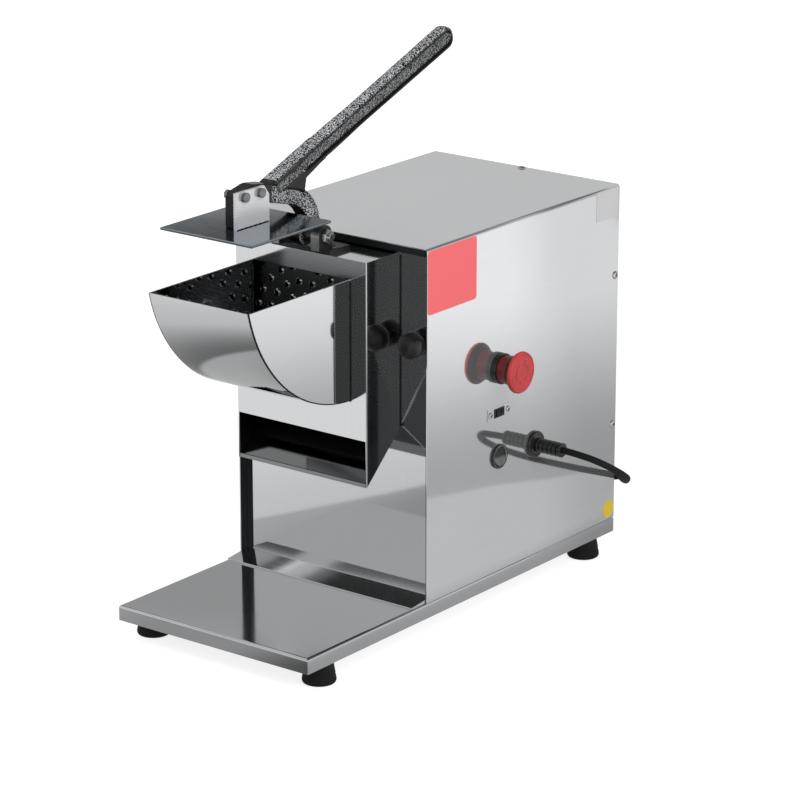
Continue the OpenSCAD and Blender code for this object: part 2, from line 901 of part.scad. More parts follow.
module motor_fan() {
  color("ivory")
    difference() {
      union() {
        rod_y(fan_front, fan_back, fan_hub_r, 0, axis_z);
        rod_y(fan_front, fan_front + 2, fan_r, 0, axis_z);
        for (i = [0 : fan_blades - 1])
          translate([0, 0, axis_z])
            rotate([0, 360 * i / fan_blades, 0])
              block([fan_hub_r - 2, fan_front, -fan_blade_t / 2], [fan_r - 3, fan_back, fan_blade_t / 2]);
      }
      rod_y(fan_front - cut, fan_back + cut, shaft_r, 0, axis_z);
    }
}

module fan_cowl() {
  back = shaft_end + 8;
  slots = 6;
  color("dimgray")
    difference() {
      rod_y(rear_bell_back, back, bell_r, 0, axis_z);
      rod_y(rear_bell_back - cut, back - sheet, bell_r - sheet, 0, axis_z);
      for (i = [0 : slots - 1])
        translate([0, 0, axis_z])
          rotate([0, 360 * i / slots, 0])
            block([fan_hub_r, back - sheet - cut, -4], [fan_r, back + cut, 4]);
    }
}

pedestal_t = 3;
pedestal_x = 42;
pedestal_in = 20;
pedestal_ys = [casing_front + pedestal_in, casing_back - pedestal_in - pedestal_t];

module motor_pedestal() {
  color("gray") {
    for (y = pedestal_ys)
      difference() {
        block([-pedestal_x, y, base_top], [pedestal_x, y + pedestal_t, axis_z - motor_d / 4]);
        rod_y(y - cut, y + pedestal_t + cut, motor_d / 2, 0, axis_z);
      }
    block([-pedestal_x, pedestal_ys[0], base_top],
          [pedestal_x, pedestal_ys[1] + pedestal_t, base_top + pedestal_t]);
  }
}

// Run capacitor in its clip, and the terminal block
capacitor_r = 20;
capacitor_h = 72;
capacitor_foot = 12;
capacitor_back = 93;
capacitor_at = [capacitor_r + capacitor_foot + 1 - wall_x, housing_d - capacitor_back];
clip_t = 1.2;
clip_h = 16;
clip_foot_w = 16;
terminal_size = [64, 20, 18];
terminal_side = 27;
terminal_back = 88;
terminal_at = [wall_x - terminal_side - terminal_size[0], housing_d - terminal_back];

module capacitor() {
  color("whitesmoke")
    translate([capacitor_at[0], capacitor_at[1], base_top])
      cylinder(h = capacitor_h, r = capacitor_r);
}

module capacitor_clip() {
  color("silver")
    translate([capacitor_at[0], capacitor_at[1], base_top])
      difference() {
        union() {
          cylinder(h = clip_h, r = capacitor_r + clip_t);
          translate([-capacitor_r - capacitor_foot, -clip_foot_w / 2, 0])
            cube([capacitor_r + capacitor_foot, clip_foot_w, clip_t]);
        }
        translate([0, 0, -cut])
          cylinder(h = clip_h + 2 * cut, r = capacitor_r);
      }
}

module terminal_block() {
  color("beige")
    translate([terminal_at[0], terminal_at[1], base_top])
      difference() {
        cube(terminal_size);
        for (i = [0 : 5])
          translate([6 + i * 10.4, terminal_size[1] / 2, terminal_size[2] - 8])
            cylinder(h = 8 + cut, r = 3);
      }
}

// Stop button: a collar with its barrel, a plunger with a skirt, and a red cap that twists to release
stop_collar_r = 14.8;
stop_collar_h = 6;
stop_neck_r = 13.5;
stop_barrel_r = 11;
stop_stem_r = 5;
stop_barrel_x = side_x - 16;
stop_web = 1;
stop_neck_x = side_x + stop_web + stop_travel + cut;
stop_bore_end = stop_head_x + stop_spigot;
stop_block_x = 24;
stop_block_w = 30;
stop_block_h = 40;
stop_stem_in = stop_barrel_x - stop_block_x + 8;

module stop_collar() {
  color("black") {
    ring_x(side_x, side_x + stop_collar_h, stop_collar_r, stop_neck_r + free_gap, switch_y, stop_z);
    ring_x(side_x, side_x + stop_web, stop_collar_r - cut, stop_stem_r + run_gap, switch_y, stop_z);
    ring_x(stop_barrel_x, side_x + stop_web / 2, stop_barrel_r, stop_stem_r + run_gap, switch_y, stop_z);
  }
}

module stop_lock_nut() {
  color("gray")
    ring_x(wall_x - 6, wall_x, stop_collar_r + 1, stop_barrel_r, switch_y, stop_z);
}

module stop_contact_block() {
  color("seagreen")
    difference() {
      block([stop_barrel_x - stop_block_x, switch_y - stop_block_w / 2, stop_z - stop_block_h / 2],
            [stop_barrel_x, switch_y + stop_block_w / 2, stop_z + stop_block_h / 2]);
      rod_x(stop_stem_in - stop_travel - cut, stop_barrel_x + cut, stop_stem_r + free_gap, switch_y, stop_z);
    }
}

module stop_plunger() {
  color("firebrick") {
    rod_x(stop_stem_in, stop_bore_end - free_gap, stop_stem_r, switch_y, stop_z);
    rod_x(stop_neck_x, stop_head_x - free_gap, stop_neck_r, switch_y, stop_z);
  }
}

module stop_cap() {
  color("firebrick")
    difference() {
      translate([stop_head_x, switch_y, stop_z])
        rotate([0, 90, 0])
          rotate_extrude()
            polygon([[0, 0], [stop_r - 2, 0], [stop_r, 2], [stop_r, stop_cap_t / 2],
                     [stop_r - 1.5, stop_cap_t - 2], [stop_r - 4.5, stop_cap_t], [0, stop_cap_t]]);
      rod_x(stop_head_x - cut, stop_bore_end, stop_stem_r + run_gap, switch_y, stop_z);
    }
}

// Voltage selector: a body behind the panel, a screwed plate and a slider
selector_plate_h = 12;
selector_plate_t = 1;
slider_y = 6;
slider_h = 6;
slider_out = 2.6;
slider_in = 5;
selector_body_t = 13;
selector_body_y = selector_l - 3;
selector_body_h = 11;
selector_screw_r = 1.5;
selector_screw_in = 4.5;
selector_screw_y = selector_l / 2 - selector_screw_in;
selector_screw_ys = [switch_y - selector_screw_y, switch_y + selector_screw_y];
slider_low = switch_y - (slider_y + selector_travel) / 2;
window_y = slider_y + selector_travel + 2 * free_gap;
window_h = slider_h + 2 * free_gap;

module selector_window(x0, x1) {
  block([x0, switch_y - window_y / 2, selector_z - window_h / 2],
        [x1, switch_y + window_y / 2, selector_z + window_h / 2]);
}

module selector_body() {
  color("black")
    difference() {
      block([wall_x - selector_body_t, switch_y - selector_body_y / 2, selector_z - selector_body_h / 2],
            [wall_x, switch_y + selector_body_y / 2, selector_z + selector_body_h / 2]);
      selector_window(wall_x - slider_in - free_gap, wall_x + cut);
      for (y = selector_screw_ys)
        rod_x(wall_x - selector_body_t - cut, wall_x + cut, selector_screw_r, y, selector_z);
    }
}

module selector_plate() {
  color("silver")
    difference() {
      block([side_x, switch_y - selector_l / 2, selector_z - selector_plate_h / 2],
            [side_x + selector_plate_t, switch_y + selector_l / 2, selector_z + selector_plate_h / 2]);
      selector_window(side_x - cut, side_x + selector_plate_t + cut);
      for (y = selector_screw_ys)
        rod_x(side_x - cut, side_x + selector_plate_t + cut, selector_screw_r, y, selector_z);
    }
}

module selector_screws() {
  color("gray")
    for (y = selector_screw_ys) {
      rod_x(wall_x - 4, side_x + selector_plate_t, selector_screw_r, y, selector_z);
      rod_x(side_x + selector_plate_t, side_x + selector_plate_t + 1.2, 2 * selector_screw_r, y, selector_z);
    }
}

module selector_slider() {
  color("black")
    block([wall_x - slider_in, slider_low, selector_z - slider_h / 2],
          [side_x + slider_out, slider_low + slider_y, selector_z + slider_h / 2]);
}

// Round rocker switch: a cup with its bezel, a pivot pin and the button
rocker_cup_r = 11;
rocker_cup_l = 20;
rocker_well_r = 10.4;
rocker_well = 9;
rocker_r = 9.4;
rocker_bezel_t = 2.5;
rocker_pin_r = 1.25;
rocker_pin_x = side_x - 3;

module rocker_body() {
  color("black")
    difference() {
      union() {
        rod_x(side_x - rocker_cup_l, side_x + cut, rocker_cup_r, switch_y, rocker_z);
        rod_x(side_x, side_x + rocker_bezel_t, rocker_bezel_r, switch_y, rocker_z);
      }
      rod_x(side_x - rocker_well, side_x + rocker_bezel_t + cut, rocker_well_r, switch_y, rocker_z);
      rod_y(switch_y - rocker_cup_r, switch_y + rocker_cup_r, rocker_pin_r, rocker_pin_x, rocker_z);
    }
}

module rocker_pin() {
  pin_half = rocker_cup_r - 0.2;
  color("gray") rod_y(switch_y - pin_half, switch_y + pin_half, rocker_pin_r, rocker_pin_x, rocker_z);
}

module rocker_button() {
  proud = 6;
  dip = 4.4;
  color("black")
    translate([rocker_pin_x, switch_y, rocker_z])
      rotate([0, -rocker_tilt, 0])
        difference() {
          intersection() {
            along_y(-rocker_r, rocker_r)
              polygon([[-3, -6], [proud, -rocker_r], [dip, 0], [proud, rocker_r], [-3, 6]]);
            rod_x(-4, proud + cut, rocker_r, 0, 0);
          }
          rod_y(-rocker_r - cut, rocker_r + cut, rocker_pin_r + run_gap, 0, 0);
        }
}

// Cord gland with a ribbed bend relief, and its nut
gland_thread_r = 8;
gland_thread_l = 14;
gland_nut_t = 7;
boot_r = 7;
boot_ribs = 6;
boot_groove = 1.2;
boot_groove_share = 0.3;

module cord_gland() {
  rib = boot_l / boot_ribs;
  color("black")
    translate([side_x, gland_y, gland_z])
      rotate([0, 90, 0])
        difference() {
          union() {
            translate([0, 0, -gland_thread_l]) cylinder(h = gland_thread_l + cut, r = gland_thread_r);
            cylinder(h = gland_flange_t, r = gland_flange_r);
            cylinder(h = gland_flange_t + boot_l, r = boot_r - boot_groove);
            for (i = [0 : boot_ribs - 1])
              translate([0, 0, gland_flange_t + (i + boot_groove_share) * rib])
                cylinder(h = (1 - boot_groove_share) * rib, r = boot_r);
          }
          translate([0, 0, -gland_thread_l - cut])
            cylinder(h = gland_thread_l + gland_flange_t + boot_l + 2 * cut, r = cord_d / 2);
        }
}

module gland_nut() {
  color("black")
    difference() {
      translate([wall_x - gland_nut_t, gland_y, gland_z])
        rotate([0, 90, 0])
          cylinder(h = gland_nut_t, r = gland_flange_r, $fn = 6);
      rod_x(wall_x - gland_nut_t - cut, wall_x + cut, gland_thread_r, gland_y, gland_z);
    }
}

// Supply cord: from the gland round the rear corner, into a coil behind the housing, to the plug
coil_at = [20, housing_d + 17 + coil_r];
coil_pitch = cord_d + coil_gap;
coil_low = 3.6;
coil_high = coil_low + coil_loops * coil_pitch;
lead_in = coil_at[1] - coil_r;
loop_rings = 24;
coil_sides = 6;
lead_sides = 8;

// The lead's own points, chosen by hand
lead_route = [
  [boot_end_x, gland_y, gland_z], [boot_end_x + cord_d, gland_y, gland_z], [170.9, 171.9, 145.5],
  [180.6, 177.5, 143], [187.7, 186, 139.5], [191.5, 196.4, 135.5], [191.5, 207.6, 131.4], [187.5, 218.5, 127],
  [172.6, 239, 117.5], [157.2, 259, 108], [137.6, 285, 95.7], [117, 312.3, 82.7], [109.8, 319.2, 78.1],
  [101.3, 323.4, 73.3], [91.4, lead_in, 68], [78, lead_in, 60.2], [64, lead_in, 52.3], [51.5, lead_in, 45.6],
  [coil_at[0] + 3 * cord_d, lead_in, coil_high + 1.2], [coil_at[0] + cord_d, lead_in, coil_high]
];

// The coil winds down clockwise, seen from above, and leaves along the floor
plug_back = -32;
plug_z = plug_d / 2;
coil_tail = [
  [coil_at[0] - cord_d, lead_in, coil_low], [-4, lead_in, coil_low], [-13, lead_in, 7], [-20, lead_in, 12],
  [plug_back + cord_d, lead_in, plug_z], [plug_back, lead_in, plug_z]
];
coil_route = concat(
  [[coil_at[0] + cord_d, lead_in, coil_high]],
  [for (i = [0 : coil_loops * loop_rings])
    let (a = -90 - 360 * i / loop_rings)
    [coil_at[0] + coil_r * cos(a), coil_at[1] + coil_r * sin(a), coil_high - coil_pitch * i / loop_rings]],
  coil_tail
);

function unit(v) = v / norm(v);
function last(list) = len(list) - 1;
function heading(p, i) = unit(p[min(i + 1, last(p))] - p[max(i - 1, 0)]);

// Least gap of a route to itself, between points more than one loop's quarter apart
function route_gap(p, d, apart) =
  min([for (i = [0 : last(p)], j = [i + apart : 1 : last(p)]) norm(p[i] - p[j])]) - d;

// A round tube of flat faces along a route
module cord_tube(route, d, sides) {
  rings = len(route);
  points = [for (i = [0 : rings - 1], k = [0 : sides - 1])
    let (t = heading(route, i), s = unit(cross(t, [0, 0, 1])), u = cross(s, t), a = 360 * (k + 0.5) / sides)
    route[i] + d / 2 * (cos(a) * s + sin(a) * u)];
  walls = [for (i = [0 : rings - 2], k = [0 : sides - 1])
    let (n = (k + 1) % sides, a = i * sides, b = a + sides)
    each [[a + k, a + n, b + n], [a + k, b + n, b + k]]];
  first_cap = [for (k = [1 : sides - 2]) [0, k + 1, k]];
  end_cap = [for (k = [1 : sides - 2]) let (b = (rings - 1) * sides) [b, b + k, b + k + 1]];
  polyhedron(points = points, faces = concat(walls, first_cap, end_cap));
}

module cord_lead() {
  color("black") cord_tube(lead_route, cord_d, lead_sides);
}

module cord_coil() {
  echo(least_gap = route_gap(coil_route, cord_d, loop_rings / 2));
  color("black") cord_tube(coil_route, cord_d, coil_sides);
}

// A strap round the coil's far side
tie_w = 5;
tie_t = 1.2;

module coil_tie() {
  y = coil_at[1] + coil_r;
  half = cord_d / 2 + free_gap;
  low = coil_low + coil_pitch / 2 - cord_d / 2 - free_gap;
  high = coil_high - coil_pitch / 2 + cord_d / 2 + free_gap;
  color("black")
    difference() {
      block([coil_at[0] - tie_w / 2, y - half - tie_t, low - tie_t],
            [coil_at[0] + tie_w / 2, y + half + tie_t, high + tie_t]);
      block([coil_at[0] - tie_w / 2 - cut, y - half, low],
            [coil_at[0] + tie_w / 2 + cut, y + half, high]);
    }
}

// Plug with two round pins, lying on the floor beside the coil
plug_l = 34;
plug_face = plug_back - plug_l;
plug_pin_r = 2.4;
plug_pin_l = 19;
plug_pin_gap = 19;

module plug_body() {
  r = plug_d / 2;
  color("black")
    translate([plug_back, lead_in, plug_z])
      rotate([0, -90, 0])
        difference() {
          rotate_extrude()
            polygon([[0, 0], [0.36 * r, 0], [0.42 * r, 8], [0.8 * r, 13], [r, 19], [r, plug_l], [0, plug_l]]);
          for (side = [-1, 1])
            translate([0, side * plug_pin_gap / 2, plug_l - 8]) cylinder(h = 8 + cut, r = plug_pin_r);
        }
}

module plug_pins() {
  color("silver")
    for (side = [-1, 1])
      rod_x(plug_face - plug_pin_l, plug_face + 8, plug_pin_r, lead_in + side * plug_pin_gap / 2, plug_z);
}

translate(-origin) {
  base_plate();
  foot(-foot_x, foot_ys[0]);  // foot_front_left
  foot(foot_x, foot_ys[0]);  // foot_front_right
  foot(-foot_x, foot_ys[1]);  // foot_rear_left
  foot(foot_x, foot_ys[1]);  // foot_rear_right
  foot_screws();
  housing_cover();
  front_panel();
  rear_panel();
  cover_screws();
  head_box();
  chute_plate();
  head_flange();
  hopper();
  clamp_studs();
  clamp_knob(-knob_x);  // clamp_knob_left
  clamp_knob(knob_x);  // clamp_knob_right
  hinge_bracket();
  hinge_bolt();
  hinge_nut();
  lever_casting();
  presser_bracket();
  bracket_bolts();
  presser_plate();
  grating_disc();
  disc_hub();
  disc_nut();
  shaft_seal();
  motor_front_bell();
  motor_casing();
  motor_rear_bell();
  motor_stator();
  motor_rotor();
  motor_bearings();
  motor_bolts();
  motor_fan();
  fan_cowl();
  motor_pedestal();
  capacitor();
  capacitor_clip();
  terminal_block();
  stop_collar();
  stop_lock_nut();
  stop_contact_block();
  stop_plunger();
  stop_cap();
  selector_body();
  selector_plate();
  selector_screws();
  selector_slider();
  rocker_body();
  rocker_pin();
  rocker_button();
  cord_gland();
  gland_nut();
  cord_lead();
  cord_coil();
  coil_tie();
  plug_body();
  plug_pins();
}
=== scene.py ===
"""Looks of an electric cheese grater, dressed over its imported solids."""
import math

import bmesh
import bpy
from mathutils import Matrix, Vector


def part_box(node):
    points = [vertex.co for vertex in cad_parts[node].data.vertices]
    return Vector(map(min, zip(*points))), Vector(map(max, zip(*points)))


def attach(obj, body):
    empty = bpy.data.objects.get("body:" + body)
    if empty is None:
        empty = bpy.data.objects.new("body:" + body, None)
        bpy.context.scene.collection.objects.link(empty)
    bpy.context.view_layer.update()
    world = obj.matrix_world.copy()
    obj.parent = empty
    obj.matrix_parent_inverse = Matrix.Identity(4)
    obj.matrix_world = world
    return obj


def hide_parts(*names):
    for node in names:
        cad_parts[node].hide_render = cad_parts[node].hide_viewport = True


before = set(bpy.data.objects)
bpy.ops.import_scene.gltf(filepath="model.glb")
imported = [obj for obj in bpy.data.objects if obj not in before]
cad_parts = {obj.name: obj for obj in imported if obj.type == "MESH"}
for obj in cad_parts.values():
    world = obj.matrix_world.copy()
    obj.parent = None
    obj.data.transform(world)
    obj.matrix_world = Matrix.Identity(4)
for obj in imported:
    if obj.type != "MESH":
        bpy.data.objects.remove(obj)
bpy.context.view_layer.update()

bl_info = {
    "name": "Cheese grater looks",
    "version": (1, 0, 0),
    "blender": (4, 5, 0),
    "location": "View3D > Sidebar > Grater",
    "description": "Dresses the solids of an electric cheese grater with finished pieces and a stage",
    "category": "Object",
}

MM = 0.001
RIGHT, FORWARD, UP = Vector((1, 0, 0)), Vector((0, -1, 0)), Vector((0, 0, 1))
BASE_LOW, BASE_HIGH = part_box("base_plate")
COVER_LOW, COVER_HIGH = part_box("housing_cover")
HEAD_LOW, HEAD_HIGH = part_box("head_box")
HOPPER_LOW, HOPPER_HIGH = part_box("hopper")
HINGE_LOW, HINGE_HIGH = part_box("hinge_nut")
MID_X = (BASE_LOW.x + BASE_HIGH.x) / 2
FRONT_Y = COVER_LOW.y


def spot(x, y, z):
    """A place in millimetres from the middle of the cover's front edge, over the floor."""
    return Vector((x * MM + MID_X, y * MM + FRONT_Y, z * MM))


def back_to_mm(point):
    """The reverse of spot."""
    return Vector(((point.x - MID_X) / MM, (point.y - FRONT_Y) / MM, point.z / MM))


# Places and sizes that several pieces share, in millimetres
SIDE = (BASE_HIGH.x - BASE_LOW.x) / 2 / MM
DEPTH = (COVER_HIGH.y - COVER_LOW.y) / MM
BASE_TOP = BASE_HIGH.z / MM
TOP = COVER_HIGH.z / MM
PIVOT = ((HINGE_LOW.y + HINGE_HIGH.y) / 2 / MM - FRONT_Y / MM, (HINGE_LOW.z + HINGE_HIGH.z) / 2 / MM)
HEAD_FRONT = back_to_mm(HEAD_LOW).y
HOPPER_HALF = (HOPPER_HIGH.x - HOPPER_LOW.x) / 2 / MM
HOPPER_R = PIVOT[1] - HOPPER_LOW.z / MM
RIM = HOPPER_HIGH.z / MM
FOOT_SLOPE = 3.0
SWITCH_Y, GLAND_Y = 112.0, 170.0
STOP_Z, SELECTOR_Z = BASE_TOP + 202, BASE_TOP + 158.5
ROCKER_Z, GLAND_Z = BASE_TOP + 115, BASE_TOP + 112
BOOT_END = SIDE + 33.5
CORD_D = 6.5


LENGTH = {"subtype": "DISTANCE", "unit": "LENGTH"}
COLOUR = {"subtype": "COLOR", "size": 3, "min": 0, "max": 1}


class GraterSizes(bpy.types.PropertyGroup):
    """Sizes that a user would change"""

    fold: bpy.props.FloatProperty(
        name="Edge round", description="Round on the edges of the sheet metal",
        default=0.45 * MM, min=0.1 * MM, max=0.7 * MM, **LENGTH)
    bend: bpy.props.FloatProperty(
        name="Base bend", description="Outer bend along the top edges of the base",
        default=2.6 * MM, min=0.5 * MM, max=3 * MM, **LENGTH)
    corner: bpy.props.FloatProperty(
        name="Head corner", description="Outer bend of the head's upright corners",
        default=3.6 * MM, min=1.6 * MM, max=4 * MM, **LENGTH)
    cast_grain: bpy.props.FloatProperty(
        name="Casting mesh", description="Mesh size of the lever casting",
        default=0.9 * MM, min=0.8 * MM, max=3 * MM, **LENGTH)
    cord: bpy.props.FloatProperty(
        name="Cord", description="Diameter of the supply cord",
        default=CORD_D * MM, min=5 * MM, max=7 * MM, **LENGTH)
    cord_length: bpy.props.FloatProperty(
        name="Cord length", description="Whole length of the supply cord",
        default=1.5, min=1.2, max=1.8, **LENGTH)
    label: bpy.props.FloatProperty(
        name="Label", description="Thickness of a label",
        default=0.15 * MM, min=0.05 * MM, max=0.4 * MM, **LENGTH)


class GraterColours(bpy.types.PropertyGroup):
    """Colours that a user would change"""

    cover: bpy.props.FloatVectorProperty(
        name="Cover", description="Bright sheet of the cover",
        default=(0.70, 0.71, 0.72), **COLOUR)
    tray: bpy.props.FloatVectorProperty(
        name="Base", description="Brushed sheet of the base and panels",
        default=(0.66, 0.67, 0.68), **COLOUR)
    head: bpy.props.FloatVectorProperty(
        name="Head", description="Polished sheet of the head and hopper",
        default=(0.72, 0.73, 0.74), **COLOUR)
    plate: bpy.props.FloatVectorProperty(
        name="Presser plate", description="Scuffed sheet of the presser plate",
        default=(0.42, 0.48, 0.52), **COLOUR)
    enamel: bpy.props.FloatVectorProperty(
        name="Enamel", description="Ground of the hammered enamel",
        default=(0.006, 0.006, 0.007), **COLOUR)
    flake: bpy.props.FloatVectorProperty(
        name="Flakes", description="Silver of the hammered enamel",
        default=(0.6, 0.61, 0.62), **COLOUR)
    button: bpy.props.FloatVectorProperty(
        name="Stop button", description="Moulded mushroom cap",
        default=(0.52, 0.042, 0.045), **COLOUR)
    label: bpy.props.FloatVectorProperty(
        name="Red label", description="Plain label at the front",
        default=(0.87, 0.115, 0.13), **COLOUR)
    plastic: bpy.props.FloatVectorProperty(
        name="Black plastic", description="Collar, rocker, gland, tie and plug",
        default=(0.016, 0.016, 0.017), **COLOUR)


class Wire:
    """A shader socket that takes part in sums."""

    def __init__(self, finish, socket):
        self.finish = finish
        self.socket = socket

    def sum(self, operation, first, second):
        return self.finish.node("ShaderNodeMath", {"operation": operation}, {0: first, 1: second})

    def __add__(self, other):
        return self.sum("ADD", self, other)

    def __sub__(self, other):
        return self.sum("SUBTRACT", self, other)

    def __rsub__(self, other):
        return self.sum("SUBTRACT", other, self)

    def __mul__(self, other):
        return self.sum("MULTIPLY", self, other)

    def __abs__(self):
        return self.sum("ABSOLUTE", self, 0.0)

    __radd__ = __add__
    __rmul__ = __mul__

    def ramp(self, low, high, to_low=0.0, to_high=1.0):
        return self.finish.node(
            "ShaderNodeMapRange", {"interpolation_type": "SMOOTHSTEP"},
            {"Value": self, "From Min": low, "From Max": high, "To Min": to_low, "To Max": to_high})

    def about(self, level, swing):
        """A noise, moved and narrowed to play about a level."""
        return (self - 0.5) * swing + level

    def under(self, face, start, end):
        """Rises from 0 to 1 between two depths in millimetres under a face."""
        return self.ramp(face - start * MM, face - end * MM)


class Finish:
    """A material, made from nodes by name."""

    SOCKETS = {"color": "Base Color", "rough": "Roughness", "metal": "Metallic", "normal": "Normal",
               "coat": "Coat Weight", "coat_rough": "Coat Roughness", "specular": "Specular IOR Level"}

    def __init__(self, name, tree=None):
        if tree is None:
            self.material = bpy.data.materials.new(name)
            self.material.use_nodes = True
            tree = self.material.node_tree
        self.tree = tree
        tree.nodes.clear()

    def node(self, kind, settings=None, sockets=None, out=0):
        made = self.tree.nodes.new(kind)
        for key, value in (settings or {}).items():
            setattr(made, key, value)
        for key, value in (sockets or {}).items():
            if isinstance(value, Wire):
                self.tree.links.new(value.socket, made.inputs[key])
            else:
                made.inputs[key].default_value = value
        return Wire(self, made.outputs[out]) if made.outputs else made

    def vector(self, operation, first, second, out=0):
        return self.node("ShaderNodeVectorMath", {"operation": operation}, {0: first, 1: second}, out)

    def place(self):
        return self.node("ShaderNodeTexCoord", out="Object")

    def along(self, axis):
        return self.node("ShaderNodeSeparateXYZ", {}, {0: self.place()}, out="XYZ".index(axis))

    def off_middle(self):
        """How far a place is from the machine's middle plane."""
        return abs(self.along("X") - MID_X)

    def noise(self, scale, detail=3.0, rough=0.6, stretch=(1, 1, 1)):
        where = self.vector("MULTIPLY", self.place(), stretch)
        return self.node("ShaderNodeTexNoise", {}, {
            "Vector": where, "Scale": scale, "Detail": detail, "Roughness": rough}, out="Fac")

    def mix(self, share, first, second):
        return self.node("ShaderNodeMix", {"data_type": "RGBA"}, {0: share, 6: first, 7: second}, out=2)

    def bump(self, height, distance=0.0005):
        return self.node("ShaderNodeBump", {}, {"Height": height, "Distance": distance, "Strength": 1.0})

    def surface(self, **sockets):
        shader = self.node("ShaderNodeBsdfPrincipled", {}, {self.SOCKETS[k]: v for k, v in sockets.items()})
        self.node("ShaderNodeOutputMaterial", {}, {"Surface": shader})
        return self.material

    def light(self, tone, kind="ShaderNodeEmission"):
        return self.node(kind, {}, {"Color": tone, "Strength": 1.0})


def rgba(tint, level=1.0):
    return (tint[0] * level, tint[1] * level, tint[2] * level, 1.0)


BRUSH = {"x": (0.03, 1, 1), "y": (1, 0.03, 1), "z": (1, 1, 0.03)}
# Near-black colours of painted shade: for steel faces hidden inside the sheets, and for the underside of the
# stop button's cap
SHADE_STEEL, SHADE_RED = (0.035, 0.038, 0.04, 1), (0.035, 0.028, 0.03, 1)
WELD_BLACK, HINGE_BLACK = (0.03, 0.03, 0.032, 1), (0.012, 0.012, 0.013, 1)
HINGE_RUBBED = (0.16, 0.165, 0.165, 1), (0.34, 0.35, 0.35, 1)
ROCKER_LOWER_GREY = (0.11, 0.115, 0.115, 1)


def inside_cover(f):
    """Marks the faces inside the cover's folded sheet, which painted shade darkens."""
    return f.off_middle().under(SIDE * MM, 0.8, 1.1) * f.along("Z").under(TOP * MM, 0.8, 1.1)


def inside_head(f):
    """Marks the part of the chute well inside the head, which painted shade darkens further."""
    return (f.along("Y") - FRONT_Y).ramp((HEAD_FRONT + 16) * MM, (HEAD_FRONT + 22) * MM)


def inside_shell(f):
    """Marks the faces inside the head's folded sheet, which painted shade darkens."""
    half = (HEAD_HIGH.x - HEAD_LOW.x) / 2
    return (f.off_middle().under(half, 1.2, 1.4) * f.along("Z").under(HEAD_HIGH.z, 1.2, 1.4)
            * (f.along("Y") - HEAD_LOW.y).ramp(1.2 * MM, 1.4 * MM))


def under_rim(f):
    """Marks the underside of the stop button's cap, which painted shade darkens."""
    return f.along("X").ramp(spot(SIDE + 23.4, 0, 0).x, spot(SIDE + 22.2, 0, 0).x)


def steel(name, tint, rough, wave, brush, grain=0.05, shaded=None, metal=1.0):
    """Sheet steel: brushed streaks, wiping marks and a gentle unevenness of the sheet; a given mask adds
    painted shade.
    """
    f = Finish(name)
    streak = f.noise(620, stretch=BRUSH[brush])
    smear = f.noise(9, rough=0.55)
    swell = f.noise(5.5, 1.0, 0.4)
    face = f.mix(streak * 0.6 + smear * 0.4, rgba(tint, 1 - grain), rgba(tint, 1 + grain))
    sheen = (streak - 0.5) * 0.5 * rough + (smear - 0.5) * 0.8 * rough + rough
    # Painted shade: the masked faces turn near black and duller, as where little light reaches
    if shaded:
        inner = shaded(f)
        face, sheen = f.mix(inner, face, SHADE_STEEL), sheen + inner * 0.35
    return f.surface(color=face, metal=metal, rough=sheen, normal=f.bump(swell + streak * 0.0015, wave))


def hopper_steel(name, tint, rough, wave):
    """Polished sheet with the blued line of a weld along the curved seams."""
    f = Finish(name)
    pivot = spot(0, *PIVOT)
    reach = f.vector("DISTANCE", f.vector("MULTIPLY", f.place(), (0, 1, 1)), (0, pivot.y, pivot.z), "Value")
    ragged = f.noise(260, 2.0)
    seam = f.off_middle().under(HOPPER_HALF * MM, 2.2, 0.6) * reach.under(HOPPER_R * MM, 2.2, 0.6)
    seam = (seam * (ragged + 0.55)).ramp(0.3, 0.9)
    smear = f.noise(10, rough=0.55)
    streak = f.noise(700, stretch=BRUSH["x"])
    swell = f.noise(7, 1.0, 0.4)
    clean = f.mix(streak * 0.5 + smear * 0.5, rgba(tint, 0.96), rgba(tint, 1.04))
    return f.surface(
        color=f.mix(seam, clean, WELD_BLACK), metal=1.0, rough=(smear - 0.5) * 0.08 + seam * 0.3 + rough,
        normal=f.bump(swell + ragged * seam * 0.2, wave))


def scuffed_steel(name, tint):
    """The presser plate: dull, with long fine scratches both ways, and painted shade on its edges and
    underside.
    """
    f = Finish(name)
    scratch = f.noise(420, 4.0, 0.65, (0.05, 1, 1))
    cross = f.noise(500, 4.0, 0.65, (1, 0.06, 1))
    cloud = f.noise(16)
    marks = scratch.ramp(0.55, 0.75) * 0.5 + cross.ramp(0.58, 0.8) * 0.5
    face = f.mix(marks * 0.6 + cloud * 0.4, rgba(tint, 0.82), rgba(tint, 1.25))
    # Painted shade: the edges and underside, below the top's rounded rim, darken to about a fifth of the tint
    edge = f.along("Z").under(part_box("presser_plate")[1].z, 0.45, 0.75)
    return f.surface(
        color=f.mix(edge, face, rgba(tint, 0.22)), metal=1.0, rough=marks * 0.1 + cloud.about(0.12, 0.08),
        normal=f.bump(scratch * 0.05 + f.noise(9, 2.0, 0.5) * 0.6))


def bolt_steel(name, tint, rough):
    """Small turned steel: fine tool marks, dulled in spots."""
    f = Finish(name)
    turn, spots = f.noise(1500, 2.0), f.noise(240)
    return f.surface(
        color=f.mix(spots.ramp(0.4, 0.7), rgba(tint), rgba(tint, 0.72)), metal=1.0,
        rough=spots.about(rough, 0.2), normal=f.bump(turn * 0.03))


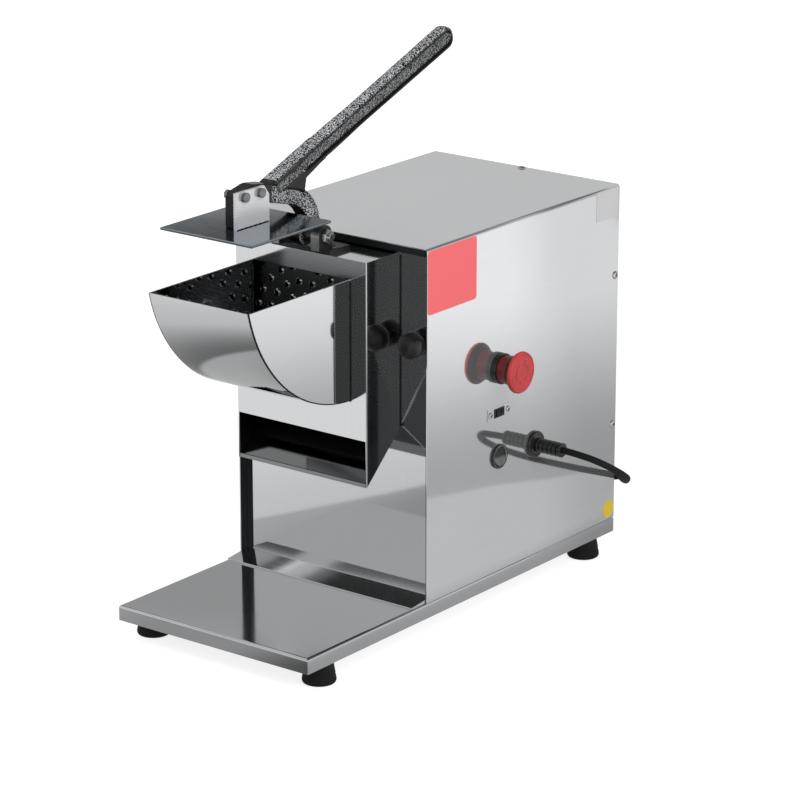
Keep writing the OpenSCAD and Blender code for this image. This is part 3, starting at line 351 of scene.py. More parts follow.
def hammered_enamel(name, ground, flake):
    """Black enamel with silver flakes in cells, where a mark on the casting lets them show; that mark thins
    them on faces turned from the lamp as painted light, and leaves the rims black as painted shade.
    """
    f = Finish(name)
    wobble = f.node("ShaderNodeTexNoise", {}, {"Vector": f.place(), "Scale": 500.0, "Detail": 2.0}, "Color")
    wander = f.vector("ADD", f.place(), f.vector("MULTIPLY", wobble, (0.001, 0.001, 0.001)))
    cell = f.node("ShaderNodeTexVoronoi", {"feature": "F1"}, {
        "Vector": wander, "Scale": 700.0, "Randomness": 1.0}, out="Distance")
    flakes_and_light = f.node("ShaderNodeAttribute", {"attribute_name": "flakes_and_light"}, out="Fac")
    speck = (cell + f.noise(60, 2.0, 0.5).about(0.0, 0.25)).ramp(0.66, 0.26)
    shine = speck * flakes_and_light
    return f.surface(
        color=f.mix(shine, rgba(ground), rgba(flake)), metal=shine * 0.3, rough=shine * 0.12 + 0.24,
        specular=0.22, coat=0.08, coat_rough=0.1, normal=f.bump(speck * (flakes_and_light * 0.9 + 0.1) * 0.35, 0.0006))


def hinge_iron(name):
    """The hinge: black paint, rubbed to the steel on the front of the two upright lugs."""
    f = Finish(name)
    front, foot = spot(0, PIVOT[0] - 8.5, 0).y, HEAD_HIGH.z
    bright = (f.off_middle().ramp(18.3 * MM, 18.6 * MM) * f.along("Y").under(front, 0, 0.8)
              * f.along("Z").ramp(foot + 3.9 * MM, foot + 4.2 * MM))
    rub = f.noise(90)
    return f.surface(
        color=f.mix(bright, HINGE_BLACK, f.mix(rub, *HINGE_RUBBED)), metal=bright,
        rough=rub.about(0.3, 0.2), normal=f.bump(rub * 0.2))


def moulded(name, tint, rough, grain=0.03, shaded=None):
    """Moulded plastic: a fine sandy grain, a little rubbed; a given mask adds painted shade."""
    f = Finish(name)
    sand, rub = f.noise(1400, 2.0), f.noise(70)
    face = f.mix(rub.ramp(0.35, 0.75), rgba(tint, 0.9), rgba(tint, 1.15))
    # Painted shade: the masked faces turn near black
    if shaded:
        face = f.mix(shaded(f), face, SHADE_RED)
    return f.surface(color=face, rough=rub.about(rough, 0.16), normal=f.bump(sand * grain + rub * 0.05))


def rocker_plastic(name, tint):
    """The rocker's button: gloss black, a lighter grey on its lower half."""
    f = Finish(name)
    rub = f.noise(160)
    lower_half = f.along("Z").under(ROCKER_Z * MM, -1, 2) * rub.ramp(0.2, 0.6, 0.4, 1.0)
    return f.surface(
        color=f.mix(lower_half, rgba(tint), ROCKER_LOWER_GREY), rough=rub.about(0.24, 0.16),
        normal=f.bump(rub * 0.04))


def rubber(name, tint):
    """Dull rubber with dust in its grain."""
    f = Finish(name)
    grain, dust = f.noise(900, 3.0, 0.65), f.noise(45, 4.0, 0.7)
    return f.surface(
        color=f.mix(dust.ramp(0.5, 0.8), rgba(tint), rgba(tint, 2.2)), rough=dust.about(0.68, 0.2),
        specular=0.3, normal=f.bump(grain * 0.08))


def painted(name, tint):
    """Stoved paint with a slight orange peel."""
    f = Finish(name)
    peel, dust = f.noise(420, 1.0, 0.4), f.noise(30)
    return f.surface(
        color=f.mix(dust, rgba(tint, 0.88), rgba(tint, 1.12)), rough=dust.about(0.42, 0.14),
        normal=f.bump(peel * 0.1))


def laminated(name, tint):
    """A stack of thin core sheets along the shaft."""
    f = Finish(name)
    stack = f.node("ShaderNodeTexWave", {"wave_type": "BANDS", "bands_direction": "Y"}, {
        "Vector": f.place(), "Scale": 260.0, "Distortion": 0.4})
    return f.surface(
        color=f.mix(stack, rgba(tint, 0.6), rgba(tint, 1.2)), metal=0.8, rough=stack * 0.15 + 0.38,
        normal=f.bump(stack * 0.2, 0.0004))


def film(name, tint, rough, veil=0.02):
    """A plain label's film: even, with a faint sheen of handling."""
    f = Finish(name)
    hand = f.noise(34, rough=0.55)
    return f.surface(
        color=f.mix(hand, rgba(tint, 1 - veil), rgba(tint, 1 + veil)), rough=hand.about(rough, 0.14),
        coat=0.25, coat_rough=0.15, normal=f.bump(f.noise(500, 2.0, 0.5) * 0.02, 0.0004))


# How far apart vertices and planes count as one (metres), and how far faces turn at an edge (radians)
SAME_PLACE, SAME_PLANE = 2e-6, 4e-6
FLAT_TURN, SHARP_TURN, BEND_TURNS = math.radians(0.8), math.radians(35), (0.02, 0.6)
FINISHES = {}


def finish(name):
    """Makes each finish once, when its first piece asks for it."""
    if name not in FINISHES:
        c = bpy.context.scene.grater_colours
        makers = {
            "cover_steel": (steel, c.cover, 0.06, 0.0009, "y", 0.05, inside_cover, 0.88),
            "tray_steel": (steel, c.tray, 0.09, 0.0006, "x"),
            "panel_steel": (steel, c.tray, 0.05, 0.0006, "z"),
            "head_steel": (steel, c.head, 0.11, 0.0006, "z"),
            "shell_steel": (steel, c.head, 0.09, 0.0006, "z", 0.05, inside_shell),
            # The chute: the head's steel at a third, painted shade under the head
            "chute_steel": (steel, rgba(c.head, 0.33), 0.08, 0.0005, "x", 0.12, inside_head),
            # The disc: the head's steel at under a third, painted shade inside the head
            "disc_steel": (steel, rgba(c.head, 0.3), 0.3, 0.0005, "x", 0.12),
            "bracket_steel": (steel, c.tray, 0.3, 0.0005, "y", 0.12, None, 0.6),
            "hopper_steel": (hopper_steel, rgba(c.head, 0.86), 0.045, 0.0004),
            "plate_steel": (scuffed_steel, c.plate),
            "bright_bolt": (bolt_steel, (0.66, 0.66, 0.67), 0.24),
            "dark_bolt": (bolt_steel, (0.24, 0.24, 0.25), 0.3),
            "brass_pin": (bolt_steel, (0.72, 0.66, 0.5), 0.24),
            "seam_black": (bolt_steel, (0.03, 0.03, 0.032), 0.5),
            "cast_alloy": (bolt_steel, (0.5, 0.5, 0.5), 0.5),
            "hinge_iron": (hinge_iron,),
            "hammered": (hammered_enamel, c.enamel, c.flake),
            "stop_red": (moulded, c.button, 0.4, 0.05, under_rim),
            # The stop button's red at about a third: painted shade on the neck under the cap
            "neck_red": (moulded, rgba(c.button, 0.32), 0.42, 0.05),
            "black_plastic": (moulded, c.plastic, 0.38),
            "knob_black": (moulded, (0.008, 0.008, 0.009), 0.34, 0.01),
            "gloss_black": (moulded, c.plastic, 0.22, 0.01),
            "grey_plastic": (moulded, (0.3, 0.31, 0.31), 0.3),
            "white_plastic": (moulded, (0.7, 0.7, 0.67), 0.45),
            "green_plastic": (moulded, (0.06, 0.25, 0.12), 0.45),
            "rocker_black": (rocker_plastic, c.plastic),
            "motor_paint": (painted, (0.12, 0.13, 0.14)),
            "core": (laminated, (0.3, 0.24, 0.2)),
            "foot_rubber": (rubber, (0.008, 0.008, 0.008)),
            "cord_rubber": (rubber, (0.007, 0.007, 0.008)),
            "red_label": (film, c.label, 0.36),
            "white_label": (film, (0.58, 0.58, 0.59), 0.45, 0.05),
            "yellow_label": (film, (0.78, 0.56, 0.03), 0.42, 0.06),
        }
        maker, *values = makers[name]
        FINISHES[name] = maker(name, *values)
    return FINISHES[name]


def smooth_mesh(name, bm, angle=32.0, outward=True):
    """A plain mesh from a bmesh, smooth but for its sharp edges."""
    if outward:
        bmesh.ops.recalc_face_normals(bm, faces=bm.faces)
    mesh = bpy.data.meshes.new(name)
    bm.to_mesh(mesh)
    bm.free()
    mesh.shade_smooth()
    mesh.set_sharp_from_angle(angle=math.radians(angle))
    return mesh


def add_object(name, data):
    made = bpy.data.objects.new(name, data)
    bpy.context.scene.collection.objects.link(made)
    return made


def add_piece(name, mesh, look, body, replaced=()):
    """Puts a finished mesh on its body, in place of the solids that it stands for."""
    made = add_object(name, mesh)
    mesh.materials.clear()
    mesh.materials.append(finish(look))
    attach(made, body)
    if replaced:
        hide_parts(*replaced)
    return made


def merged_copy(node):
    """A solid's faces joined up again, flat faces as one."""
    bm = bmesh.new()
    bm.from_mesh(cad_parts[node].data)
    bmesh.ops.remove_doubles(bm, verts=bm.verts, dist=SAME_PLACE)
    bmesh.ops.dissolve_limit(bm, angle_limit=FLAT_TURN, verts=bm.verts, edges=bm.edges)
    return bm


def round_edges(bm, width, steps, chosen=None):
    """Rounds the sharp edges, or those whose two ends a test chooses."""
    edges = [e for e in bm.edges if len(e.link_faces) == 2 and e.calc_face_angle(0) > SHARP_TURN
             and (chosen is None or chosen(*(back_to_mm(v.co) for v in e.verts)))]
    bmesh.ops.bevel(bm, geom=edges, offset=width, offset_type="OFFSET", segments=steps, profile=0.5,
                    affect="EDGES", clamp_overlap=True)


def flat_planes(bm):
    """The planes of the flat sheet faces, which are far larger than any facet of a bend beside them."""
    planes = []
    for face in bm.faces:
        size = face.calc_area()
        bends = [f for e in face.edges if BEND_TURNS[0] < e.calc_face_angle(0) < BEND_TURNS[1]
                 for f in e.link_faces if f is not face]
        if all(size > 4 * f.calc_area() for f in bends):
            planes.append((face.normal.copy(), face.normal.dot(face.calc_center_median())))
    return planes


def folded_mesh(name, bm, planes):
    """Smooth bends and edges between sheet faces that stay quite flat."""
    mesh = smooth_mesh(name, bm, outward=False)
    for face in mesh.polygons:
        if any(face.normal.dot(n) > 0.99999 and abs(n.dot(face.center) - d) < SAME_PLANE for n, d in planes):
            face.use_smooth = False
    return mesh


def crisp_copy(node, width, steps=2, lift=None, bend=0.0, chosen=None):
    """A solid with its edges rounded a little, and the chosen edges bent wider."""
    bm = merged_copy(node)
    if lift:
        for vertex in bm.verts:
            vertex.co.z += lift(back_to_mm(vertex.co)) * MM
        bm.normal_update()
    planes = flat_planes(bm)
    if bend:
        round_edges(bm, bend, 5, chosen)
    round_edges(bm, width, steps)
    return folded_mesh(node + "_folded", bm, planes)


def evaluated_mesh(made, name):
    """The plain mesh that an object's modifiers give; the object itself goes."""
    graph = bpy.context.evaluated_depsgraph_get()
    mesh = bpy.data.meshes.new_from_object(made.evaluated_get(graph))
    mesh.name = name
    bpy.data.objects.remove(made)
    return mesh


def soften(profile, cut, steps=3):
    """A turned profile with its corners rounded."""
    points = [Vector(p) for p in profile]
    done = [points[0]]
    for before, corner, after in zip(points, points[1:], points[2:]):
        a, b = before - corner, after - corner
        reach = min(cut, a.length * 0.45, b.length * 0.45)
        start, end = corner + a.normalized() * reach, corner + b.normalized() * reach
        for i in range(steps + 1):
            t = i / steps
            done.append(start * (1 - t) ** 2 + corner * 2 * t * (1 - t) + end * t * t)
    done.append(points[-1])
    return [(p.x, p.y) for p in done]


def stitch(bm, rings, closed=False, capped=False):
    """Faces from each ring of vertices to the next; a ring of one vertex is a pole."""
    for low, high in list(zip(rings, rings[1:])) + ([(rings[-1], rings[0])] if closed else []):
        count = max(len(low), len(high))
        for k in range(count):
            n = (k + 1) % count
            if len(low) == 1:
                bm.faces.new((low[0], high[k], high[n]))
            elif len(high) == 1:
                bm.faces.new((low[k], low[n], high[0]))
            else:
                bm.faces.new((low[k], low[n], high[n], high[k]))
    if capped:
        bm.faces.new(rings[0])
        bm.faces.new(rings[-1])
    return bm


def turned(profile, origin, axis, around=72, closed=False, lobes=None):
    """A turned form: (radius, height) in millimetres along an axis, from pole to pole or as a ring."""
    bm = bmesh.new()
    a = UP if abs(axis.z) < 0.5 else RIGHT
    b = axis.cross(a)
    rings = []
    for r, h in profile:
        middle = origin + axis * h * MM
        if r < 1e-4:
            rings.append([bm.verts.new(middle)])
            continue
        ring = []
        for k in range(around):
            t = math.tau * k / around
            size = r * MM * (lobes(r, t) if lobes else 1.0)
            ring.append(bm.verts.new(middle + (a * math.cos(t) + b * math.sin(t)) * size))
        rings.append(ring)
    return stitch(bm, rings, closed)


def joined(parts):
    """Several bmeshes as one."""
    whole = bmesh.new()
    for bm in parts:
        bmesh.ops.recalc_face_normals(bm, faces=bm.faces)
        mesh = bpy.data.meshes.new("part")
        bm.to_mesh(mesh)
        bm.free()
        whole.from_mesh(mesh)
        bpy.data.meshes.remove(mesh)
    return whole


def add_turned(name, place, axis, forms, look, body, replaced, others=()):
    """A piece of turned forms, each a (profile, steps around, closed), and other forms with them."""
    parts = [turned(profile, place, axis, around, closed) for profile, around, closed in forms]
    mesh = smooth_mesh(name, joined(parts + list(others)))
    return add_piece(name, mesh, look, body, replaced)


class GRATER_OT_camera(bpy.types.Operator):
    """Sets the camera at the photograph's viewing angle"""

    bl_idname = "grater.camera"
    bl_label = "Camera"

    def execute(self, context):
        turn, rise = math.radians(37.49), math.radians(17.56)
        picture, focal = 800, 3586.5
        forward = Vector((-math.sin(turn) * math.cos(rise), math.cos(turn) * math.cos(rise), -math.sin(rise)))
        lens = bpy.data.cameras.new("camera")
        lens.sensor_width = 36.0
        lens.lens = focal * lens.sensor_width / picture
        lens.clip_start, lens.clip_end = 0.1, 100.0
        made = add_object("camera", lens)
        made.location = spot(1991.0, -2489.6, 1220.5)
        made.rotation_mode = "QUATERNION"
        made.rotation_quaternion = forward.to_track_quat("-Z", "Y")
        context.scene.camera = made
        return {"FINISHED"}


# The cord's route in millimetres: the free run sags a little lower than the solid one
COIL_X, COIL_R, COIL_LOOPS, COIL_SIDES = 20.0, 37.0, 5, 24
COIL_LOW, COIL_STEP = 3.6, 7.2
COIL_HIGH = COIL_LOW + COIL_LOOPS * COIL_STEP
COIL_Y = DEPTH + 17
PLUG_X, PLUG_Z, PLUG_LENGTH = -32.0, 15.0, 34.0
LEAD = [
    (BOOT_END - 3, GLAND_Y, GLAND_Z), (BOOT_END + CORD_D, GLAND_Y, GLAND_Z), (170.9, 171.9, 145),
    (180.6, 177.5, 141), (187.7, 186, 135), (191.5, 196.4, 128), (191.5, 207.6, 121), (187.5, 218.5, 114.5),
    (172.6, 239, 104), (157.2, 259, 96), (137.6, 285, 86), (117, 312.3, 76.5), (109.8, 319.2, 73.5),
    (101.3, 323.4, 70.3), (91.4, COIL_Y, 66.5), (78, COIL_Y, 60.2), (64, COIL_Y, 52.3), (51.5, COIL_Y, 45.6),
    (COIL_X + 3 * CORD_D, COIL_Y, COIL_HIGH + 1.2), (COIL_X + CORD_D, COIL_Y, COIL_HIGH)]
TAIL = [
    (COIL_X - CORD_D, COIL_Y, COIL_LOW), (-4, COIL_Y, COIL_LOW), (-13, COIL_Y, 7), (-20, COIL_Y, 12),
    (PLUG_X + CORD_D, COIL_Y, PLUG_Z), (PLUG_X - 2, COIL_Y, PLUG_Z)]


def cord_route():
    """The lead, the coil's turns and the tail, as points."""
    turns = []
    for i in range(COIL_LOOPS * COIL_SIDES + 1):
        a = -math.pi / 2 - math.tau * i / COIL_SIDES
        turns.append((COIL_X + COIL_R * math.cos(a), COIL_Y + COIL_R + COIL_R * math.sin(a),
                      COIL_HIGH - COIL_STEP * i / COIL_SIDES))
    return [Vector(p) for p in LEAD + turns + TAIL]


def flowing(points, steps):
    """A smooth line through points."""
    line = []
    for i in range(len(points) - 1):
        p0, p1 = points[max(i - 1, 0)], points[i]
        p2, p3 = points[i + 1], points[min(i + 2, len(points) - 1)]
        for k in range(steps):
            t = k / steps
            line.append(0.5 * (2 * p1 + (p2 - p0) * t + (2 * p0 - 5 * p1 + 4 * p2 - p3) * t * t
                               + (3 * p1 - p0 - 3 * p2 + p3) * t ** 3))
    return line + [points[-1]]


class GRATER_OT_cord(bpy.types.Operator):
    """Lays the supply cord from the gland into its coil, with the tie and the plug"""

    bl_idname = "grater.cord"
    bl_label = "Supply cord"

    def execute(self, context):
        sizes = context.scene.grater_sizes
        curve = bpy.data.curves.new("supply_cord", "CURVE")
        curve.dimensions = "3D"
        curve.bevel_depth = sizes.cord / 2
        curve.bevel_resolution = 4
        curve.use_fill_caps = True
        spline = curve.splines.new("POLY")
        line = flowing(cord_route(), 3)
        spline.points.add(len(line) - 1)
        for point, p in zip(spline.points, line):
            point.co = (*spot(*p), 1)
        spline.use_smooth = True
        curve.materials.append(finish("cord_rubber"))
        cord = add_object("supply_cord", curve)
        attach(cord, "frame")
        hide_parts("cord_lead", "cord_coil")
        tie = add_piece("coil_strap", crisp_copy("coil_tie", 0.3 * MM), "black_plastic", "frame",
                        ["coil_tie"])
        ribs = [(4.6 + 0.5 * (i % 2), 1.2 * i) for i in range(1, 7)]
        body = soften([(0, 0), (4.6, 0)] + ribs + [
            (6.3, 8.4), (9.5, 11.5), (12.2, 13.2), (14.4, 17.5), (15, 21), (15, 24), (14.3, 25), (14.3, 27),
            (15, 28), (15, 32), (14, PLUG_LENGTH), (0, PLUG_LENGTH)], 0.7, 2)
        plug = add_turned("plug_grip", spot(PLUG_X, COIL_Y, PLUG_Z), -RIGHT, [(body, 72, False)],
                          "black_plastic", "frame", ["plug_body"])
        pin = soften([(0, 0), (2.4, 0), (2.4, 18), (1.3, 19), (0, 19)], 0.5)
        pins = [turned(pin, spot(PLUG_X - PLUG_LENGTH, COIL_Y + off, PLUG_Z), -RIGHT, 32)
                for off in (-9.5, 9.5)]
        prongs = add_piece("plug_prongs", smooth_mesh("plug_prongs", joined(pins)), "brass_pin", "frame",
                           ["plug_pins"])
        spot(BOOT_END, GLAND_Y, GLAND_Z)
        return {"FINISHED"}


def hopper_mesh():
    """Curved bottom and two cheeks, as one welded sheet form with a wall of the sheet's thickness."""
    bm = bmesh.new()
    wall, steps = 1.1, 72

    def layer(x, r):
        start = math.pi + math.asin((PIVOT[1] - RIM) / r)
        end = math.pi + math.acos((PIVOT[0] - HEAD_FRONT) / r)
        turns = [start + (end - start) * i / steps for i in range(steps + 1)]
        arc = [(PIVOT[0] + r * math.cos(t), PIVOT[1] + r * math.sin(t)) for t in turns]
        return [bm.verts.new(spot(x, y, z)) for y, z in arc + [(HEAD_FRONT, RIM)]]

    outer = [layer(s * HOPPER_HALF, HOPPER_R) for s in (-1, 1)]
    inner = [layer(s * (HOPPER_HALF - wall), HOPPER_R - wall) for s in (-1, 1)]
    for left, right in (outer, inner):
        for i in range(steps):
            bm.faces.new((left[i], left[i + 1], right[i + 1], right[i]))
    for out, back in zip(outer, inner):
        bm.faces.new(out)
        bm.faces.new(back)
        bm.faces.new((out[0], out[-1], back[-1], back[0]))
        bm.faces.new((out[-1], out[-2], back[-2], back[-1]))
    for end in (0, -2):
        bm.faces.new((outer[0][end], outer[1][end], inner[1][end], inner[0][end]))
    bmesh.ops.recalc_face_normals(bm, faces=bm.faces)
    planes = flat_planes(bm)
    round_edges(bm, 0.45 * MM, 3)
    return folded_mesh("hopper_shell", bm, planes)


def panel_foot(place):
    """Lifts the inner end of the front panel's flange."""
    return FOOT_SLOPE if BASE_TOP + 0.5 < place.z < BASE_TOP + 3 and place.y > 0 else 0.0


def tray_rim(a, b):
    """Chooses the outer edges of the base's top."""
    inner = (max(abs(a.x), abs(b.x)) < SIDE - 0.1 and max(a.y, b.y) < DEPTH - 0.1
             and min(a.y, b.y) > back_to_mm(BASE_LOW).y + 0.1)
    return min(a.z, b.z) > BASE_TOP - 0.1 and not inner


def head_corner(a, b):
    """Chooses the upright corners at the head's front."""
    return abs(a.y - b.y) < 0.01 and abs(a.x - b.x) < 0.01 and a.y < HEAD_FRONT + 0.1 and abs(a.x) > 70


class GRATER_OT_sheets(bpy.types.Operator):
    """Folds the sheet metal: base, cover, panels, head, flange, chute, hopper and presser"""

    bl_idname = "grater.sheets"
    bl_label = "Sheet metal"

    def execute(self, context):
        sizes = context.scene.grater_sizes
        for node, name, look, body, slot, extra in (
                ("housing_cover", "cover_sheet", "cover_steel", "frame", "cover_steel", {}),
                ("rear_panel", "rear_sheet", "panel_steel", "frame", "panel_steel", {}),
                ("chute_plate", "chute_sheet", "chute_steel", "frame", "polished_steel", {}),
                ("head_flange", "flange_sheet", "head_steel", "frame", "sheet_steel", {}),
                ("presser_bracket", "presser_lug", "bracket_steel", "lever", "sheet_steel", {}),
                ("presser_plate", "presser_sheet", "plate_steel", "lever", "presser_steel", {}),
                ("front_panel", "front_sheet", "panel_steel", "frame", "panel_steel", {"lift": panel_foot}),
                ("base_plate", "base_tray", "tray_steel", "frame", "sheet_steel",
                 {"bend": sizes.bend, "chosen": tray_rim}),
                ("head_box", "head_shell", "shell_steel", "frame", "polished_steel",
                 {"bend": sizes.corner, "chosen": head_corner})):
            add_piece(name, crisp_copy(node, sizes.fold, **extra), look, body, [node])
        add_piece("hopper_shell", hopper_mesh(), "hopper_steel", "frame", ["hopper"])
        return {"FINISHED"}


# The lever's handle in millimetres, with its root's place as (y, z)
HANDLE_L, HANDLE_ROOT, HANDLE_END, HANDLE_HALF = 219.0, 19.5, 22.5, 7.75
HANDLE_TILT = math.radians(20.5)
HANDLE_AT = (PIVOT[0] + 7, PIVOT[1] + 67)
HANDLE_RIM, HANDLE_GROOVE = 4.5, 3.2
HANDLE_START, CASTING_CUT = -50.0, 18.0


def handle_place(along, off):
    """A place on the handle's middle plane, from its root, as (y, z)."""
    return (HANDLE_AT[0] + along * math.cos(HANDLE_TILT) - off * math.sin(HANDLE_TILT),
            HANDLE_AT[1] + along * math.sin(HANDLE_TILT) + off * math.cos(HANDLE_TILT))


def handle_reach(y, z):
    """The handle's own (along, off) of a place."""
    dy, dz = y - HANDLE_AT[0], z - HANDLE_AT[1]
    return (dy * math.cos(HANDLE_TILT) + dz * math.sin(HANDLE_TILT),
            dz * math.cos(HANDLE_TILT) - dy * math.sin(HANDLE_TILT))


def handle_half(along, margin=0.0):
    """Half the handle's width at a place along it, less a margin; below nothing past its round end."""
    end = HANDLE_END / 2 - margin
    if along > HANDLE_L:
        past = along - HANDLE_L
        return math.sqrt(end * end - past * past) if past < end else end - past
    return (HANDLE_ROOT + (HANDLE_END - HANDLE_ROOT) * max(along, 0) / HANDLE_L) / 2 - margin


def eased(low, high, value):
    t = max(0.0, min(1.0, (value - low) / (high - low)))
    return t * t * (3 - 2 * t)


def signed_power(value, power):
    return math.copysign(abs(value) ** power, value)


def handle_bar():
    """The handle: a rounded bar with a groove along each side and a round end."""
    bm = bmesh.new()
    around, steps = 72, 90
    stations = [HANDLE_START + (HANDLE_L - HANDLE_START) * i / steps for i in range(steps + 1)]
    stations += [HANDLE_L + HANDLE_END / 2 * math.sin(math.radians(6 * i)) for i in range(1, 15)]
    rings = []
    for along in stations:
        # Narrow where it starts inside the casting, square at the root and rounder further out
        wide = handle_half(along) * (0.55 + 0.45 * eased(HANDLE_START, HANDLE_START + 30, along))
        thick = HANDLE_HALF * min(1.0, (2 * wide / HANDLE_END) ** 0.5 if along > HANDLE_L else 1.0)
        box = 2 / (8 - 4.4 * eased(20, 80, along))
        ring = []
        for k in range(around):
            t = math.tau * (k + 0.5) / around
            x, off = signed_power(math.cos(t), box) * thick, signed_power(math.sin(t), box) * wide
            hollow = eased(-0.9, 0.9, handle_half(along, HANDLE_RIM) - abs(off)) * eased(-20, -6, along)
            x -= math.copysign(HANDLE_GROOVE * hollow, x)
            ring.append(bm.verts.new(spot(x, *handle_place(along, off))))
        rings.append(ring)
    return stitch(bm, rings, capped=True)


def flake_share(place, normal, half):
    """How much of the flakes shows at a place of the casting; half is half the casting's thickness. On the
    handle it holds painted light and shade: fewer flakes on faces turned from the lamp, none along the rims.
    """
    along, off = handle_reach(place.y, place.z)
    deep = abs(place.x)
    start, neck, below, inside = -52, 14, 3, -6
    if along > start and off > -handle_half(along) - (below if along > neck else inside):
        # Painted light: the flakes thin out on faces turned from the lamp; the dark lines along the rims are
        # painted shade
        lamp_side = Vector((-0.4, -0.35, 0.85)).normalized()
        lit = 0.22 + 0.78 * eased(-0.2, 0.6, normal.dot(lamp_side))
        rim = 1 - eased(1.1, 2.4, abs(handle_half(along, HANDLE_RIM - 0.4) - abs(off)))
        groove = eased(0.5, 1.5, handle_half(along, HANDLE_RIM) - abs(off)) * eased(3, 4, deep)
        return max(lit, 0.5 * groove) * (1 - rim * eased(2.5, 4.0, deep))
    flakes_and_light = eased(half - 0.4, half - 1.1, deep) * eased(0.6, 0.85, abs(normal.x))
    return flakes_and_light * eased(-93, -89, place.y)


def lever_mesh(voxel):
    """The casting with its edges rounded off, and a mark for how much of its flakes show, carrying painted
    light and shade.
    """
    bm = merged_copy("lever_casting")
    way = Vector((0, math.cos(HANDLE_TILT), math.sin(HANDLE_TILT)))
    bmesh.ops.bisect_plane(bm, geom=bm.verts[:] + bm.edges[:] + bm.faces[:], clear_outer=True,
                           plane_co=spot(0, *handle_place(CASTING_CUT, 0)), plane_no=way)
    bmesh.ops.holes_fill(bm, edges=[e for e in bm.edges if e.is_boundary])
    bmesh.ops.triangulate(bm, faces=bm.faces)
    made = add_object("lever_cast", smooth_mesh("lever_rough", joined([bm, handle_bar()]), outward=False))
    remesh = made.modifiers.new("cells", "REMESH")
    remesh.mode, remesh.voxel_size = "VOXEL", voxel
    relax = made.modifiers.new("relax", "SMOOTH")
    relax.factor, relax.iterations = 0.5, 4
    mesh = evaluated_mesh(made, "lever_cast")
    mesh.shade_smooth()
    low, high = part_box("lever_casting")
    half = (high.x - low.x) / 2 / MM
    flakes_and_light = mesh.attributes.new("flakes_and_light", "FLOAT", "POINT")
    for vertex, value in zip(mesh.vertices, flakes_and_light.data):
        value.value = flake_share(back_to_mm(vertex.co), vertex.normal, half)
    return mesh


class GRATER_OT_lever(bpy.types.Operator):
    """Casts the lever and dresses its hinge and bolts"""

    bl_idname = "grater.lever"
    bl_label = "Lever and hinge"

    def execute(self, context):
        sizes = context.scene.grater_sizes
        add_piece("lever_arm", lever_mesh(sizes.cast_grain), "hammered", "lever", ["lever_casting"])
        add_piece("hinge_lugs", crisp_copy("hinge_bracket", 0.8 * MM, 3), "hinge_iron", "frame",
                  ["hinge_bracket"])
        for node, name, look, body in (
                ("hinge_bolt", "hinge_pin", "bright_bolt", "frame"),
                ("hinge_nut", "hinge_hex", "bright_bolt", "frame"),
                ("bracket_bolts", "presser_bolts", "dark_bolt", "lever")):
            add_piece(name, crisp_copy(node, 0.5 * MM), look, body, [node])
        return {"FINISHED"}


class GRATER_OT_knobs(bpy.types.Operator):
    """Turns the two clamp knobs with their grip lobes"""

    bl_idname = "grater.knobs"
    bl_label = "Clamp knobs"

    def execute(self, context):
        for name in ("left", "right"):
            low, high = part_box("clamp_knob_" + name)
            middle = (low + high) / 2
            r, deep = (high.x - low.x) / 2 / MM, (high.y - low.y) / MM
            profile = soften([(a * r, b * deep) for a, b in (
                (0, 0), (0.68, 0), (0.72, 0.12), (0.93, 0.24), (1, 0.4), (1, 0.64), (0.93, 0.8), (0.74, 0.92),
                (0.62, 0.93), (0.58, 0.97), (0.3, 1), (0, 1))], 0.8)

            def lobes(radius, turn):
                grip = max(0.0, min(1.0, (radius / r - 0.7) / 0.2))
                return 1 - 0.03 * grip * (1 - math.cos(6 * turn))

            form = turned(profile, Vector((middle.x, high.y, middle.z)), FORWARD, 96, lobes=lobes)
            add_piece("grip_knob_" + name, smooth_mesh("grip_knob_" + name, form, 50), "knob_black",
                      "knob_" + name, ["clamp_knob_" + name])
        return {"FINISHED"}


def arc_arrow(start, origin):
    """A raised arrow bent round the X axis on the stop button's face, from an angle on."""
    bm = bmesh.new()
    r_in, r_out, low, high, sweep, steps = 8.2, 10.6, 26.5, 27.75, math.radians(88), 14
    middle, wing = (r_in + r_out) / 2, (r_out - r_in) * 0.8
    line = [(r_in, r_out, 0.72 * i / steps) for i in range(steps + 1)]
    line += [(r_in - wing, r_out + wing, 0.73), (middle - 0.05, middle + 0.05, 1.0)]
    sections = []
    for a, b, share in line:
        t = start + sweep * share
        sections.append([bm.verts.new(origin + Vector((h, r * math.cos(t), r * math.sin(t))) * MM)
                         for r, h in ((a, low), (b, low), (b, high), (a, high))])
    return stitch(bm, sections, capped=True)


def thin_plate(node, thickness):
    """A solid's outline as thinner sheet, on the same wall."""
    bm = merged_copy(node)
    foot = min(v.co.x for v in bm.verts)
    for v in bm.verts:
        v.co.x = min(v.co.x, foot + thickness)
    return folded_mesh(node + "_thin", bm, flat_planes(bm))


def selector_frame():
    """The black moulding round the selector's window."""
    low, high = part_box("selector_slider")
    inner = (6.2, (high.z - low.z) / 2 / MM + 0.4)
    outer = (inner[0] + 1.5, inner[1] + 0.9)
    bm = bmesh.new()
    rings = []
    for half, x in ((inner, 0.1), (inner, 1.0), (outer, 0.9), (outer, 0.1)):
        rings.append([bm.verts.new(spot(SIDE + x, SWITCH_Y + a * half[0], SELECTOR_Z + b * half[1]))
                      for a, b in ((-1, -1), (1, -1), (1, 1), (-1, 1))])
    return smooth_mesh("selector_frame", stitch(bm, rings, closed=True))


